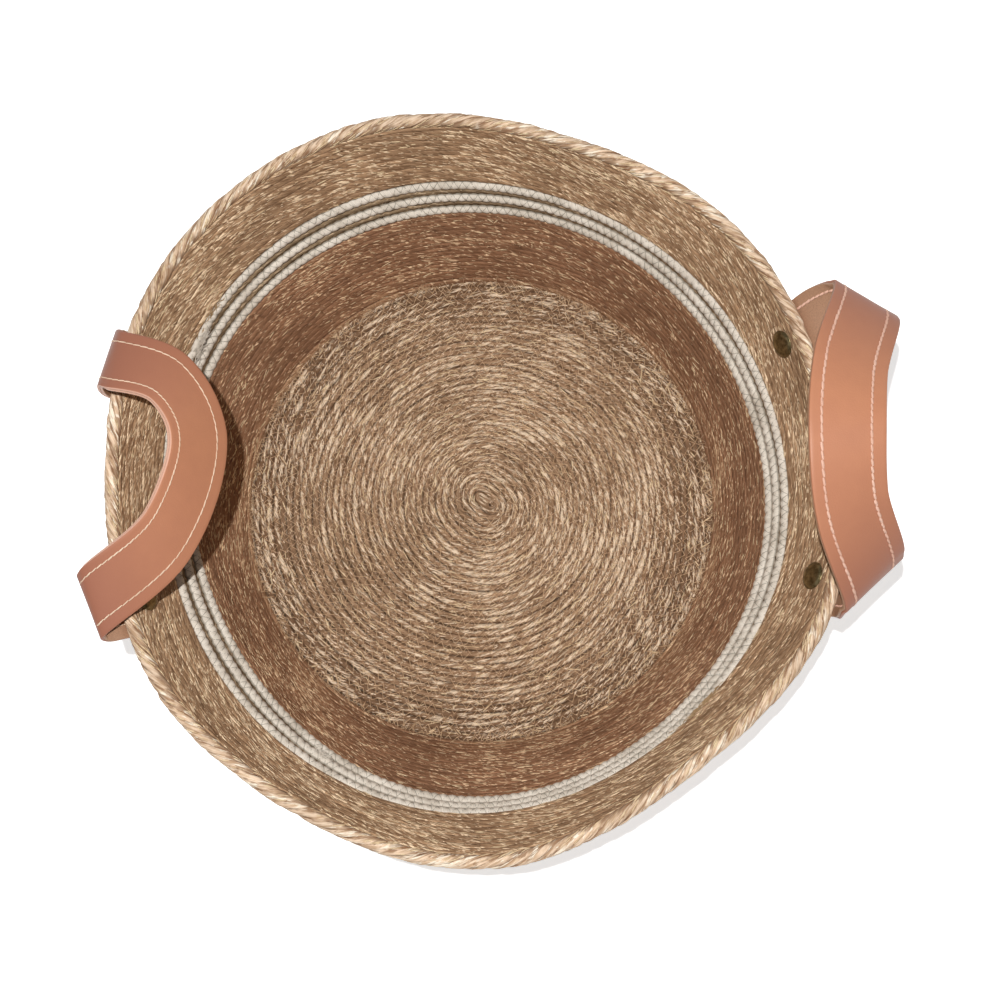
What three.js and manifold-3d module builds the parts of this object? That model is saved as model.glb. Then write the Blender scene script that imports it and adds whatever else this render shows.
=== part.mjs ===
// Jute storage basket with two leather strap handles, in millimetres, +Z up.
// The origin is the centre of the underside. The wall is sewn up row by row from a flat floor,
// with three rows of white cord, and ends in a thick twisted rim. Each handle is one doubled
// leather strap, riveted to the outside of the wall, folded over the rim and arched back.

import * as THREE from 'three';
import { mergeVertices } from 'three/addons/utils/BufferGeometryUtils.js';
import Module from 'manifold-3d';

const wasm = await Module();
wasm.setup();

// Floor and wall
const floorRadius = 141.5;
const floorThickness = 4.5;
const floorEdgeRounding = 1.8;
const wallThickness = 4.5;
const wallFlare = 0.33;
const wallEdgeRounding = 1.1;
const rowHeight = 3.8;
const lowerRows = 17;
const upperRows = 10;
const whiteCordDiameter = 5.9;
const naturalCordDiameter = 3.7;
const cordStandOff = 0.4;
const rimDiameter = 7.4;
const rimOverhang = 0.9;
const seam = 0.3;

// The basket is hand sewn, so its round is a little uneven and more so towards the rim
const unevenness = [
  { lobes: 2, swell: 3.0, at: -57, fade: 0.8 },
  { lobes: 3, swell: 2.8, at: 5, fade: 1 },
  { lobes: 5, swell: 1.7, at: -17, fade: 4 },
  { lobes: 6, swell: 1.8, at: -23, fade: 4 },
];

// Between floor and rim it also swells or draws in round one height and less above and below it.
// Height and spread are in shares of the rim's height.
const bulges = [
  { height: 0.52, spread: 0.17, lobes: 1, swell: 1.17, at: -54 },
  { height: 0.52, spread: 0.17, lobes: 2, swell: 1.68, at: -67 },
  { height: 0.52, spread: 0.17, lobes: 3, swell: 1.52, at: 40 },
  { height: 0.52, spread: 0.17, lobes: 4, swell: 0.96, at: -14 },
  { height: 0.66, spread: 0.11, lobes: 0, swell: -1.05, at: 0 },
  { height: 0.66, spread: 0.11, lobes: 1, swell: -1.13, at: 0 },
];

// Leather straps
const strapWidth = 36.5;
const leatherThickness = 1.5;
const layerGap = 0.3;
const foldBend = 5;
const tabBelowRivet = 15;
const hingeGap = 0.4;
const strapClearance = 0.5;
const rimClearance = 0.8;
const standOffAtRivet = 0.25;
const standOffAboveRivet = 0.6;

// Rivets
const rivetHeadRadius = 7.2;
const rivetDome = 2.3;
const rivetHeadEdge = 0.8;
const rivetShankRadius = 2;
const rivetHoleClearance = 0.3;
const rivetGrip = 1.6;
const capWall = 0.9;
const rivetBelowRim = 9;
const rivetSeatRelief = 0.5;
const domeShares = [0.4, 0.75];

// How finely the round forms are faceted. The two step counts are for one strap layer.
const wallSegments = 48;
const wallLevelHeight = 22;
const thickCordSides = 8;
const thinCordSides = 6;
const hingeSides = 48;
const rivetSegments = 16;
const archSteps = 28;
const tabSteps = 15;

// The handles. A strap runs over its stations from the side where along is positive to the other
// side. A station's place is out from the basket's axis in rim radii, along the rim in half spans
// between the rivets, and its rise over the rim in strap widths. turn and tip give the way across
// the strap, from its long edge to its short edge, in degrees. A skewed fold is longer than the
// strap is wide, by the factor stretch. The hinge radius is in strap widths.
const handles = [
  {
    name: 'right',
    azimuth: 2.9,
    rivetSpread: 19.5,
    hingeRadius: 0.507,
    firstFold: { out: 1.0937, along: 1.173, rise: 0.540, turn: -36, tip: 0, stretch: 1 },
    arch: [
      { out: 0.9968, along: 0.539, rise: 1.334, turn: -24, tip: -4 },
      { out: 0.9613, along: 0.000, rise: 1.608, turn: 0, tip: -6 },
      { out: 0.9682, along: -0.535, rise: 1.334, turn: 19, tip: -4 },
    ],
    lastFold: { out: 1.0466, along: -1.113, rise: 0.540, turn: 41, tip: 0, stretch: 1.09 },
  },
  {
    name: 'left',
    azimuth: 181.3,
    rivetSpread: 19.3,
    hingeRadius: 0.356,
    firstFold: { out: 1.0037, along: 1.058, rise: 0.458, turn: -76, tip: 25, stretch: 1 },
    arch: [
      { out: 0.7902, along: 0.490, rise: 0.458, turn: -57, tip: 43 },
      { out: 0.7066, along: -0.330, rise: 0.430, turn: 18, tip: 57 },
      { out: 0.7892, along: -0.809, rise: 0.485, turn: 66, tip: 36 },
    ],
    lastFold: { out: 0.9582, along: -0.999, rise: 0.458, turn: 83, tip: 25, stretch: 1 },
  },
];

const radians = THREE.MathUtils.degToRad;
const up = new THREE.Vector3(0, 0, 1);

// Heights that follow from the rows
const lowerWallBottom = floorThickness + seam;
const lowerWallTop = lowerWallBottom + lowerRows * rowHeight;
const cords = [
  { name: 'white_cord_lower', isWhite: true },
  { name: 'natural_cord_lower', isWhite: false },
  { name: 'white_cord_middle', isWhite: true },
  { name: 'natural_cord_upper', isWhite: false },
  { name: 'white_cord_upper', isWhite: true },
];
const cordDiameter = (cord) => (cord.isWhite ? whiteCordDiameter : naturalCordDiameter);
const cordBandHeight = cords.reduce((sum, cord) => sum + cordDiameter(cord) + seam, seam);
const upperWallBottom = lowerWallTop + cordBandHeight;
const upperWallTop = upperWallBottom + upperRows * rowHeight;
const rimHeight = upperWallTop + seam + rimDiameter / 2;
const rimRadius = wallRadius(rimHeight) + wallThickness / 2 + rimOverhang;
const rivetHeight = upperWallTop - rivetBelowRim;
const strapThickness = 2 * leatherThickness + layerGap;
const wallAlongNormal = wallThickness * Math.cos(Math.atan(wallFlare));

// How far the strap stands off the wall to pass outside the rim
const rimStandOff = rimOverhang + rimDiameter / 2 - wallThickness / 2 + rimClearance;
const rivetStandOff = rimStandOff * standOffAtRivet;

const natural = new THREE.MeshStandardMaterial({ color: 0x9c7850, roughness: 0.9, metalness: 0 });
const darkNatural = new THREE.MeshStandardMaterial({ color: 0x7f5a3c, roughness: 0.9, metalness: 0 });
const paleNatural = new THREE.MeshStandardMaterial({ color: 0xb09068, roughness: 0.9, metalness: 0 });
const white = new THREE.MeshStandardMaterial({ color: 0xcdc3b8, roughness: 0.85, metalness: 0 });
const straw = new THREE.MeshStandardMaterial({ color: 0xc2a278, roughness: 0.8, metalness: 0 });
const tan = new THREE.MeshStandardMaterial({ color: 0xc08060, roughness: 0.55, metalness: 0 });
const suede = new THREE.MeshStandardMaterial({ color: 0xa98a70, roughness: 0.9, metalness: 0 });
const bronze = new THREE.MeshStandardMaterial({ color: 0x5f5138, roughness: 0.4, metalness: 0.9 });

// A closed geometry with shared corners, no collapsed triangles and its faces pointing out
function closed(geometry) {
  geometry.deleteAttribute('normal');
  geometry.deleteAttribute('uv');
  const merged = mergeVertices(geometry, 1e-4);
  const corners = Array.from(merged.index.array);
  const kept = [];
  for (let i = 0; i < corners.length; i += 3) {
    const [a, b, c] = corners.slice(i, i + 3);
    if (a !== b && b !== c && c !== a) kept.push(a, b, c);
  }
  if (signedVolume(merged.attributes.position, kept) < 0) kept.reverse();
  merged.setIndex(kept);
  return merged;
}

function signedVolume(position, corners) {
  const [a, b, c] = [new THREE.Vector3(), new THREE.Vector3(), new THREE.Vector3()];
  let volume = 0;
  for (let i = 0; i < corners.length; i += 3) {
    a.fromBufferAttribute(position, corners[i]);
    b.fromBufferAttribute(position, corners[i + 1]);
    c.fromBufferAttribute(position, corners[i + 2]);
    volume += a.dot(b.cross(c)) / 6;
  }
  return volume;
}

function toSolid(geometry) {
  const mesh = new wasm.Mesh({
    numProp: 3,
    vertProperties: new Float32Array(geometry.attributes.position.array),
    triVerts: new Uint32Array(geometry.index.array),
  });
  return new wasm.Manifold(mesh);
}

function toGeometry(solid) {
  const mesh = solid.getMesh();
  const geometry = new THREE.BufferGeometry();
  geometry.setAttribute('position', new THREE.BufferAttribute(new Float32Array(mesh.vertProperties), 3));
  geometry.setIndex(new THREE.BufferAttribute(new Uint32Array(mesh.triVerts), 1));
  return geometry;
}

function named(name, geometry, material) {
  const mesh = new THREE.Mesh(geometry, material);
  geometry.computeVertexNormals();
  mesh.name = name;
  return mesh;
}

// The shell: how far the round swells at a direction and height, and the wall's inner radius there
function swelling(angle, height) {
  const share = Math.max(height, 0) / rimHeight;
  let total = 0;
  for (const { lobes, swell, at, fade } of unevenness) {
    total += swell * share ** fade * Math.cos(lobes * (angle - radians(at)));
  }
  for (const bulge of bulges) {
    const weight = Math.exp(-(((share - bulge.height) / bulge.spread) ** 2));
    total += bulge.swell * weight * Math.cos(bulge.lobes * (angle - radians(bulge.at)));
  }
  return total;
}

function wallRadius(height) {
  return floorRadius + wallFlare * Math.max(height - floorThickness, 0);
}

function shellPoint(angle, height, beyond) {
  const radius = wallRadius(height) + beyond + swelling(angle, height);
  return new THREE.Vector3(radius * Math.cos(angle), radius * Math.sin(angle), height);
}

function shellNormal(angle, height) {
  const outer = (turn, rise) => shellPoint(angle + turn, height + rise, wallThickness);
  const around = outer(0.01, 0).sub(outer(-0.01, 0));
  const upward = outer(0, 1).sub(outer(0, -1));
  return around.cross(upward).normalize();
}

// A ring or disc of the shell, turned from a profile of radius and height, then swelled.
// Points on the axis stay where they are.
function turned(profile) {
  const points = profile.map(([radius, height]) => new THREE.Vector2(radius, height));
  const geometry = new THREE.LatheGeometry(points, wallSegments);
  geometry.rotateX(Math.PI / 2);
  const position = geometry.attributes.position;
  for (let i = 0; i < position.count; i += 1) {
    const radius = Math.hypot(position.getX(i), position.getY(i));
    if (radius < 1) continue;
    const angle = Math.atan2(position.getY(i), position.getX(i));
    const grown = (radius + swelling(angle, position.getZ(i))) / radius;
    position.setXY(i, position.getX(i) * grown, position.getY(i) * grown);
  }
  return closed(geometry);
}

function floorDisc() {
  const edge = floorRadius + wallThickness;
  const rounding = Math.min(floorEdgeRounding, floorThickness / 2);
  return turned([
    [0, 0],
    ...quarterRound(edge - rounding, rounding, rounding, -1),
    ...quarterRound(edge - rounding / 2, floorThickness - rounding / 2, rounding / 2, 1).reverse(),
    [0, floorThickness],
  ]);
}

// Points of a rounded outer edge round a centre, from its foot or its top to its widest point
function quarterRound(centreRadius, centreHeight, rounding, sign) {
  const slant = Math.SQRT1_2 * rounding;
  return [
    [centreRadius, centreHeight + sign * rounding],
    [centreRadius + slant, centreHeight + sign * slant],
    [centreRadius + rounding, centreHeight],
  ];
}

// A band of the wall has levels between its edges, so that it can follow the bulges
function wallBand(bottom, top) {
  const rounding = Math.min(wallEdgeRounding, wallThickness / 3);
  const steps = Math.ceil((top - bottom) / wallLevelHeight);
  const levels = [];
  for (let i = 0; i <= steps; i += 1) {
    levels.push(THREE.MathUtils.lerp(bottom + rounding, top - rounding, i / steps));
  }
  const outer = (height) => wallRadius(height) + wallThickness;
  const profile = [
    [wallRadius(bottom) + rounding, bottom],
    [outer(bottom) - rounding, bottom],
    ...levels.map((height) => [outer(height), height]),
    [outer(top) - rounding, top],
    [wallRadius(top) + rounding, top],
    ...levels.map((height) => [wallRadius(height), height]).reverse(),
  ];
  return turned([...profile, profile[0]]);
}

function cordRing(centreRadius, centreHeight, diameter, sides) {
  const profile = [];
  for (let i = 0; i <= sides; i += 1) {
    const angle = (2 * Math.PI * (i + 0.5)) / sides;
    profile.push([
      centreRadius + (diameter / 2) * Math.cos(angle),
      centreHeight + (diameter / 2) * Math.sin(angle),
    ]);
  }
  profile[sides] = profile[0];
  return turned(profile);
}

// Rivets stand square to the strap, where it lies on the wall
function rivetSeat(path, side) {
  const { at, normal } = path.rivet(side);
  const tilt = normal.angleTo(path.wallNormal(side));
  const wallFace = -(strapThickness / 2 + strapClearance + rivetStandOff) / Math.cos(tilt);
  const relief = rivetHeadRadius * Math.tan(tilt) + rivetHeadRadius ** 2 / (2 * wallRadius(rivetHeight));
  return {
    at,
    normal,
    headBase: strapThickness / 2 + rivetSeatRelief,
    capBase: wallFace - wallAlongNormal / Math.cos(tilt) - seam - relief,
  };
}

function onAxis(geometry, foot, direction) {
  const turn = new THREE.Quaternion().setFromUnitVectors(new THREE.Vector3(0, 1, 0), direction);
  geometry.applyQuaternion(turn);
  geometry.translate(foot.x, foot.y, foot.z);
  return geometry;
}

// The hole's bar is centred in the strap and long enough to pass through the strap and the wall
function rivetHole(path, side) {
  const seat = rivetSeat(path, side);
  const reach = 2 * (wallThickness + strapThickness);
  const radius = rivetShankRadius + rivetHoleClearance;
  const hole = new THREE.CylinderGeometry(radius, radius, 2 * reach, rivetSegments);
  return toSolid(closed(onAxis(hole, seat.at, seat.normal)));
}

// Points of a flat dome between its middle and its rim
function dome(height, sign, base) {
  return domeShares.map((share) => [
    rivetHeadRadius * share,
    base + sign * (rivetHeadEdge + (height - rivetHeadEdge) * Math.sqrt(1 - share * share)),
  ]);
}

function rivetPost(path, side) {
  const seat = rivetSeat(path, side);
  const profile = [
    [0, seat.headBase + rivetDome],
    ...dome(rivetDome, 1, seat.headBase),
    [rivetHeadRadius, seat.headBase + rivetHeadEdge],
    [rivetHeadRadius, seat.headBase],
    [rivetShankRadius, seat.headBase],
    [rivetShankRadius, seat.capBase - rivetGrip],
    [0, seat.capBase - rivetGrip],
  ];
  return rivetPiece(profile, seat);
}

function rivetCap(path, side) {
  const seat = rivetSeat(path, side);
  const hole = rivetShankRadius + rivetHoleClearance;
  const roof = rivetGrip + rivetHoleClearance;
  const profile = [
    [0, seat.capBase - roof],
    [hole, seat.capBase - roof],
    [hole, seat.capBase],
    [rivetHeadRadius, seat.capBase],
    [rivetHeadRadius, seat.capBase - rivetHeadEdge],
    ...dome(roof + capWall, -1, seat.capBase).reverse(),
    [0, seat.capBase - roof - capWall],
  ];
  return rivetPiece(profile, seat);
}

function rivetPiece(profile, seat) {
  const points = profile.map(([radius, height]) => new THREE.Vector2(radius, height));
  return closed(onAxis(new THREE.LatheGeometry(points, rivetSegments), seat.at, seat.normal));
}

// Straps. A station holds the strap's middle, the way across it, how much it is cupped and how much
// it is stretched across.
function handleVector(handle, out, along, rise) {
  return new THREE.Vector3(out, along, rise).applyAxisAngle(up, radians(handle.azimuth));
}

function freeStation(handle, { out, along, rise, turn, tip, stretch = 1 }) {
  const halfSpan = rimRadius * Math.sin(radians(handle.rivetSpread));
  const flat = Math.cos(radians(tip));
  const inFrame = (x, y, z) => handleVector(handle, x, y, z);
  return {
    at: inFrame(out * rimRadius, along * halfSpan, rimHeight + rise * strapWidth),
    across: inFrame(flat * Math.cos(radians(turn)), flat * Math.sin(radians(turn)), Math.sin(radians(tip))),
    cup: 0,
    stretch,
  };
}

function wallStation(handle, side, height, standOff) {
  const angle = radians(handle.azimuth + side * handle.rivetSpread);
  const half = strapWidth / 2 / (wallRadius(height) + wallThickness);
  const normal = shellNormal(angle, height);
  const near = shellPoint(angle - side * half, height, wallThickness);
  const far = shellPoint(angle + side * half, height, wallThickness);
  const at = near.clone().add(far).multiplyScalar(0.5);
  const cup = shellPoint(angle, height, wallThickness).sub(at).dot(normal);
  at.addScaledVector(normal, strapClearance + strapThickness / 2 + standOff);
  return { at, across: near.sub(far).normalize(), cup, stretch: 1, normal };
}

// The strap leaves the wall at a side, passes outside the rim and reaches its fold
function legStations(handle, side) {
  return [
    wallStation(handle, side, rivetHeight - tabBelowRivet, 0),
    wallStation(handle, side, rivetHeight, rivetStandOff),
    wallStation(handle, side, (rivetHeight + rimHeight) / 2, rimStandOff * standOffAboveRivet),
    wallStation(handle, side, rimHeight, rimStandOff),
  ];
}

// A fold is eased into two stations, one on each side of its corner
function foldStations(corner, before, after) {
  return [before, after].map((neighbour) => {
    const towards = neighbour.at.clone().sub(corner.at).setLength(foldBend);
    return { ...corner, at: towards.add(corner.at) };
  });
}

function strapPath(handle) {
  const firstLeg = legStations(handle, 1);
  const lastLeg = legStations(handle, -1).reverse();
  const arch = handle.arch.map((station) => freeStation(handle, station));
  const firstFold = freeStation(handle, handle.firstFold);
  const lastFold = freeStation(handle, handle.lastFold);
  const stations = [
    ...firstLeg,
    ...foldStations(firstFold, firstLeg.at(-1), arch[0]),
    ...arch,
    ...foldStations(lastFold, arch.at(-1), lastLeg[0]),
    ...lastLeg,
  ];
  const foldStation = firstLeg.length + 0.5;
  const middle = new THREE.CatmullRomCurve3(stations.map(({ at }) => at), false, 'centripetal');
  const across = new THREE.CatmullRomCurve3(stations.map((station) => station.across), false, 'catmullrom');
  const last = stations.length - 1;
  const frame = (t) => {
    const step = 0.001;
    const tangent = middle.getPoint(Math.min(t + step, 1)).sub(middle.getPoint(Math.max(t - step, 0)));
    const way = across.getPoint(t).normalize();
    const index = Math.min(Math.floor(t * last), last - 1);
    const [before, after] = [stations[index], stations[index + 1]];
    const cup = THREE.MathUtils.lerp(before.cup, after.cup, t * last - index);
    const normal = tangent.cross(way).normalize();
    way.multiplyScalar(THREE.MathUtils.lerp(before.stretch, after.stretch, t * last - index));
    return { at: middle.getPoint(t), way, normal, cup };
  };
  const rivetIndex = (side) => (side > 0 ? 1 : last - 1);
  return {
    firstFoldShare: foldStation / last,
    lastFoldShare: (last - foldStation) / last,
    firstHinge: firstFold.at,
    lastHinge: lastFold.at,
    wallNormal: (side) => stations[rivetIndex(side)].normal,
    rivet(side) {
      const { at, normal, cup } = frame(rivetIndex(side) / last);
      return { at: at.addScaledVector(normal, cup), normal };
    },
    point(t, sideways, outward) {
      const { at, way, normal, cup } = frame(t);
      return at.addScaledVector(way, (sideways * strapWidth) / 2)
        .addScaledVector(normal, outward + cup * (1 - sideways * sideways));
    },
  };
}

// A length of one leather layer, lofted as a closed solid between two heights over the strap's middle
function strapLayer(path, from, to, steps, low, high) {
  const section = [
    [-1, low], [0, low], [1, low], [1, high], [0, high], [-1, high],
  ];
  const positions = [];
  for (let i = 0; i <= steps; i += 1) {
    const t = THREE.MathUtils.lerp(from, to, i / steps);
    for (const [sideways, outward] of section) {
      positions.push(...path.point(t, sideways, outward).toArray());
    }
  }
  const corners = [];
  const count = section.length;
  for (let i = 0; i < steps; i += 1) {
    for (let j = 0; j < count; j += 1) {
      const [a, b] = [i * count + j, i * count + ((j + 1) % count)];
      // Both faces of the leather are split along the same diagonal, so that they stay parallel
      if (j < count / 2) corners.push(a, b, b + count, a, b + count, a + count);
      else corners.push(a, b, a + count, b, b + count, a + count);
    }
  }
  // Each end is closed by two quads, one on each side of the strap's middle
  const quads = [0, 1, 4, 0, 4, 5, 1, 2, 3, 1, 3, 4];
  const lastSection = steps * count;
  corners.push(...quads.toReversed());
  corners.push(...quads.map((corner) => lastSection + corner));
  const geometry = new THREE.BufferGeometry();
  geometry.setAttribute('position', new THREE.Float32BufferAttribute(positions, 3));
  geometry.setIndex(corners);
  return toSolid(closed(geometry));
}

// A round bar along the line on which the strap's arch swings, long enough to pass both folds
function hingeBar(path, radius) {
  const direction = path.firstHinge.clone().sub(path.lastHinge);
  const centre = path.firstHinge.clone().add(path.lastHinge).multiplyScalar(0.5);
  const length = direction.length() + 4 * strapWidth;
  const bar = new THREE.CylinderGeometry(radius, radius, length, hingeSides);
  return toSolid(closed(onAxis(bar, centre, direction.normalize())));
}

// The arch keeps what lies inside the hinge bar, and each tab ends a hinge gap outside it.
// Legs and arch share a sliver of the strap, so that they join as one body.
function strapPieces(handle, path) {
  const hingeRadius = handle.hingeRadius * strapWidth;
  const inside = hingeBar(path, hingeRadius);
  const outside = hingeBar(path, hingeRadius + hingeGap);
  const layers = [
    { layer: 'face', material: tan, low: layerGap / 2, high: layerGap / 2 + leatherThickness },
    { layer: 'lining', material: suede, low: -layerGap / 2 - leatherThickness, high: -layerGap / 2 },
  ];
  const sliver = 0.01;
  return layers.flatMap(({ layer, material, low, high }) => {
    const firstLeg = strapLayer(path, 0, path.firstFoldShare + sliver, tabSteps, low, high);
    const lastLeg = strapLayer(path, path.lastFoldShare - sliver, 1, tabSteps, low, high);
    const arch = strapLayer(path, path.firstFoldShare, path.lastFoldShare, archSteps, low, high)
      .add(firstLeg.intersect(inside))
      .add(lastLeg.intersect(inside));
    const firstTab = firstLeg.subtract(outside).subtract(rivetHole(path, 1));
    const lastTab = lastLeg.subtract(outside).subtract(rivetHole(path, -1));
    return [
      named(`${handle.name}_arch_${layer}`, toGeometry(arch), material),
      named(`${handle.name}_first_tab_${layer}`, toGeometry(firstTab), material),
      named(`${handle.name}_last_tab_${layer}`, toGeometry(lastTab), material),
    ];
  });
}

const basket = new THREE.Group();

basket.add(named('floor_coil', floorDisc(), paleNatural));
basket.add(named('lower_wall', wallBand(lowerWallBottom, lowerWallTop), darkNatural));

let cordBottom = lowerWallTop + seam;
for (const cord of cords) {
  const diameter = cordDiameter(cord);
  const height = cordBottom + diameter / 2;
  const standOff = cord.isWhite ? cordStandOff : 0;
  const radius = wallRadius(height) + wallThickness / 2 - standOff;
  const sides = cord.isWhite ? thickCordSides : thinCordSides;
  basket.add(named(cord.name, cordRing(radius, height, diameter, sides), cord.isWhite ? white : natural));
  cordBottom += diameter + seam;
}

const paths = handles.map(strapPath);
let upperWall = toSolid(wallBand(upperWallBottom, upperWallTop));
for (const path of paths) {
  for (const side of [1, -1]) upperWall = upperWall.subtract(rivetHole(path, side));
}
basket.add(named('upper_wall', toGeometry(upperWall), natural));

basket.add(named('rim_rope', cordRing(rimRadius, rimHeight, rimDiameter, thickCordSides), straw));

handles.forEach((handle, index) => {
  const path = paths[index];
  for (const [side, end] of [[1, 'first'], [-1, 'last']]) {
    basket.add(named(`${handle.name}_${end}_rivet`, rivetPost(path, side), bronze));
    basket.add(named(`${handle.name}_${end}_rivet_cap`, rivetCap(path, side), bronze));
  }
  basket.add(...strapPieces(handle, path));
});

export default basket;
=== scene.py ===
"""A coiled jute basket with riveted leather strap handles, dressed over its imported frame."""

import logging
import math
from dataclasses import dataclass, field
from enum import Enum
from functools import partial

import bmesh
import bpy
import numpy as np
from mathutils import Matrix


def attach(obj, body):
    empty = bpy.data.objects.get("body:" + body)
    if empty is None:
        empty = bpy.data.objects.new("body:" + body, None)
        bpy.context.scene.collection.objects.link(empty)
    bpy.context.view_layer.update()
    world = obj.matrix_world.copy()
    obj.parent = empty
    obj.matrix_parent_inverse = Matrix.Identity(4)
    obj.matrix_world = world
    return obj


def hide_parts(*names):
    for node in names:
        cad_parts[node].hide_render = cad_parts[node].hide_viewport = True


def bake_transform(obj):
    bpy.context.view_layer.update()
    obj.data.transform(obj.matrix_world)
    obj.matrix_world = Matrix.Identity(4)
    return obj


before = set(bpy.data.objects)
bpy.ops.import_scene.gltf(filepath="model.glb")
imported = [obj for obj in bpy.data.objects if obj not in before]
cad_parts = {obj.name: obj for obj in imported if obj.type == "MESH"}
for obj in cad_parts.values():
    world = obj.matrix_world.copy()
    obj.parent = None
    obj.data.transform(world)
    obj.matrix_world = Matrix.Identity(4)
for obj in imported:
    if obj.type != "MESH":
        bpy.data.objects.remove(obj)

log = logging.getLogger("basket")

MM = 0.001
SEED = 20
TURN = 2 * np.pi
Colour = tuple[float, float, float]
Number = float | np.ndarray
Material = bpy.types.Material
Piece = bpy.types.Object
Socket = bpy.types.NodeSocket
Node = bpy.types.Node
Tree = bpy.types.NodeTree


# Finishes


def srgb(red: int, green: int, blue: int) -> Colour:
    """Turns a screen colour into the linear one that shaders take.

    Args:
        red, green, blue: the channels, 0 to 255.

    Returns:
        The linear colour.
    """
    return tuple(
        c / 12.92 if c <= 0.04045 else ((c + 0.055) / 1.055) ** 2.4
        for c in (red / 255, green / 255, blue / 255)
    )


@dataclass(frozen=True)
class JuteFinish:
    """How coiled plant fibre looks: its tones, its pale slivers and painted glints, the painted shade in its
    crevices and its roughness.

    A scale is how often a noise changes per metre along, across and up the cord.
    """

    name: str
    dark: Colour
    light: Colour
    sliver_and_glint: Colour
    crevice_shade: Colour
    edge: Colour
    sliver_level: float = 0.60
    sliver_blur: float = 0.05
    fleck_level: float = 0.60
    fleck_blur: float = 0.045
    speck_share: float = 0.6
    crevice_shade_share: float = 0.5
    crevice_shade_from: float = 0.55
    crevice_shade_to: float = 1.0
    edge_noise: float = 1.4
    coarse: float = 1.0
    patch: float = 0.16
    twist: float = 150.0
    bump: float = 0.0005
    roughness: float = 0.8
    fibre_scale: tuple = (210.0, 1500.0, 1500.0)
    strand_scale: tuple = (80.0, 560.0, 560.0)
    run_scale: tuple = (28.0, 120.0, 120.0)
    patch_scale: tuple = (16.0, 16.0, 34.0)
    sliver_scale: tuple = (85.0, 520.0, 520.0)
    fleck_scale: tuple = (320.0, 1050.0, 1050.0)
    speck_scale: tuple = (270.0, 900.0, 900.0)

    def fine(self, scale: tuple) -> tuple:
        """Makes one of the fine scales as coarse as this jute is."""
        return tuple(part * self.coarse for part in scale)


@dataclass(frozen=True)
class PlainFinish:
    """A thread, a straw fibre or a cotton cord of nearly one tone; its crevice shade colour is painted shade
    on its sides.
    """

    name: str
    dark: Colour
    light: Colour
    twist: float = 900.0
    patch_scale: float = 60.0
    crevice_shade: Colour = (0.1, 0.08, 0.06)
    crevice_shade_share: float = 0.0
    bump: float = 0.0002
    roughness: float = 0.85
    fibre_scale: tuple = (500.0, 2200.0, 2200.0)


@dataclass(frozen=True)
class LeatherFinish:
    """Smooth tanned strap leather with pale cut edges and a suede back, darkened by painted shade towards
    the strap's ends.

    The cut edge begins where a point's way across the strap, in metres, passes edge_from.
    """

    name: str
    face: Colour
    shade: Colour
    edge: Colour
    back: Colour
    roughness: float = 0.46
    bump: float = 0.00012
    edge_from: float = 0.0180
    edge_to: float = 0.0182
    cloud_scale: tuple = (14.0, 14.0, 14.0)
    mottle_scale: tuple = (120.0, 120.0, 400.0)
    crease_scale: tuple = (900.0, 260.0, 10.0)
    nap_scale: tuple = (1800.0, 1800.0, 1800.0)
    pore_scale: float = 1500.0


@dataclass(frozen=True)
class MetalFinish:
    """Dark antique metal."""

    name: str
    dark: Colour
    light: Colour
    roughness: float = 0.34
    metallic: float = 0.92
    bump: float = 0.00008
    cloud_scale: tuple = (420.0, 420.0, 420.0)


# Each jute's crevice shade colour is painted shade in the crevices between cords; it also colours the
# fibre's own dark specks.
FLOOR_JUTE = JuteFinish(
    "Floor_jute", srgb(122, 91, 64), srgb(179, 144, 112), srgb(246, 222, 192), srgb(98, 71, 50),
    edge=srgb(104, 73, 49), sliver_level=0.54, fleck_level=0.6, crevice_shade_share=0.9, coarse=1.15,
    crevice_shade_from=0.4, crevice_shade_to=0.86,
)
LOWER_JUTE = JuteFinish(
    "Lower_wall_jute", srgb(128, 90, 64), srgb(160, 118, 88), srgb(240, 206, 166), srgb(76, 48, 32),
    edge=srgb(172, 134, 100), sliver_level=0.66, fleck_level=0.605, crevice_shade_share=0.1,
    speck_share=0.45, coarse=0.8,
)
THIN_JUTE = JuteFinish(
    "Thin_jute", srgb(116, 95, 70), srgb(158, 134, 105), srgb(208, 182, 150), srgb(76, 58, 42),
    edge=srgb(100, 80, 60), sliver_level=0.6, crevice_shade_share=0.2, coarse=0.8,
)
UPPER_JUTE = JuteFinish(
    "Upper_wall_jute", srgb(132, 100, 72), srgb(182, 146, 112), srgb(246, 218, 182), srgb(84, 58, 36),
    edge=srgb(186, 150, 114), sliver_level=0.575, fleck_level=0.605, crevice_shade_share=0.1,
    speck_share=0.4, coarse=0.8,
)
# The rim's edge colour is painted shade on each strand's low inner side; random patches take it too.
RIM_STRAW = JuteFinish(
    "Rim_straw", srgb(186, 152, 120), srgb(235, 208, 180), srgb(253, 240, 218), srgb(128, 90, 60),
    edge=srgb(136, 104, 76), sliver_level=0.56, fleck_level=0.66, crevice_shade_share=0.9, patch=0.14,
    twist=40.0, coarse=0.6, crevice_shade_from=0.4, crevice_shade_to=0.95, edge_noise=0.5,
)
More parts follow.
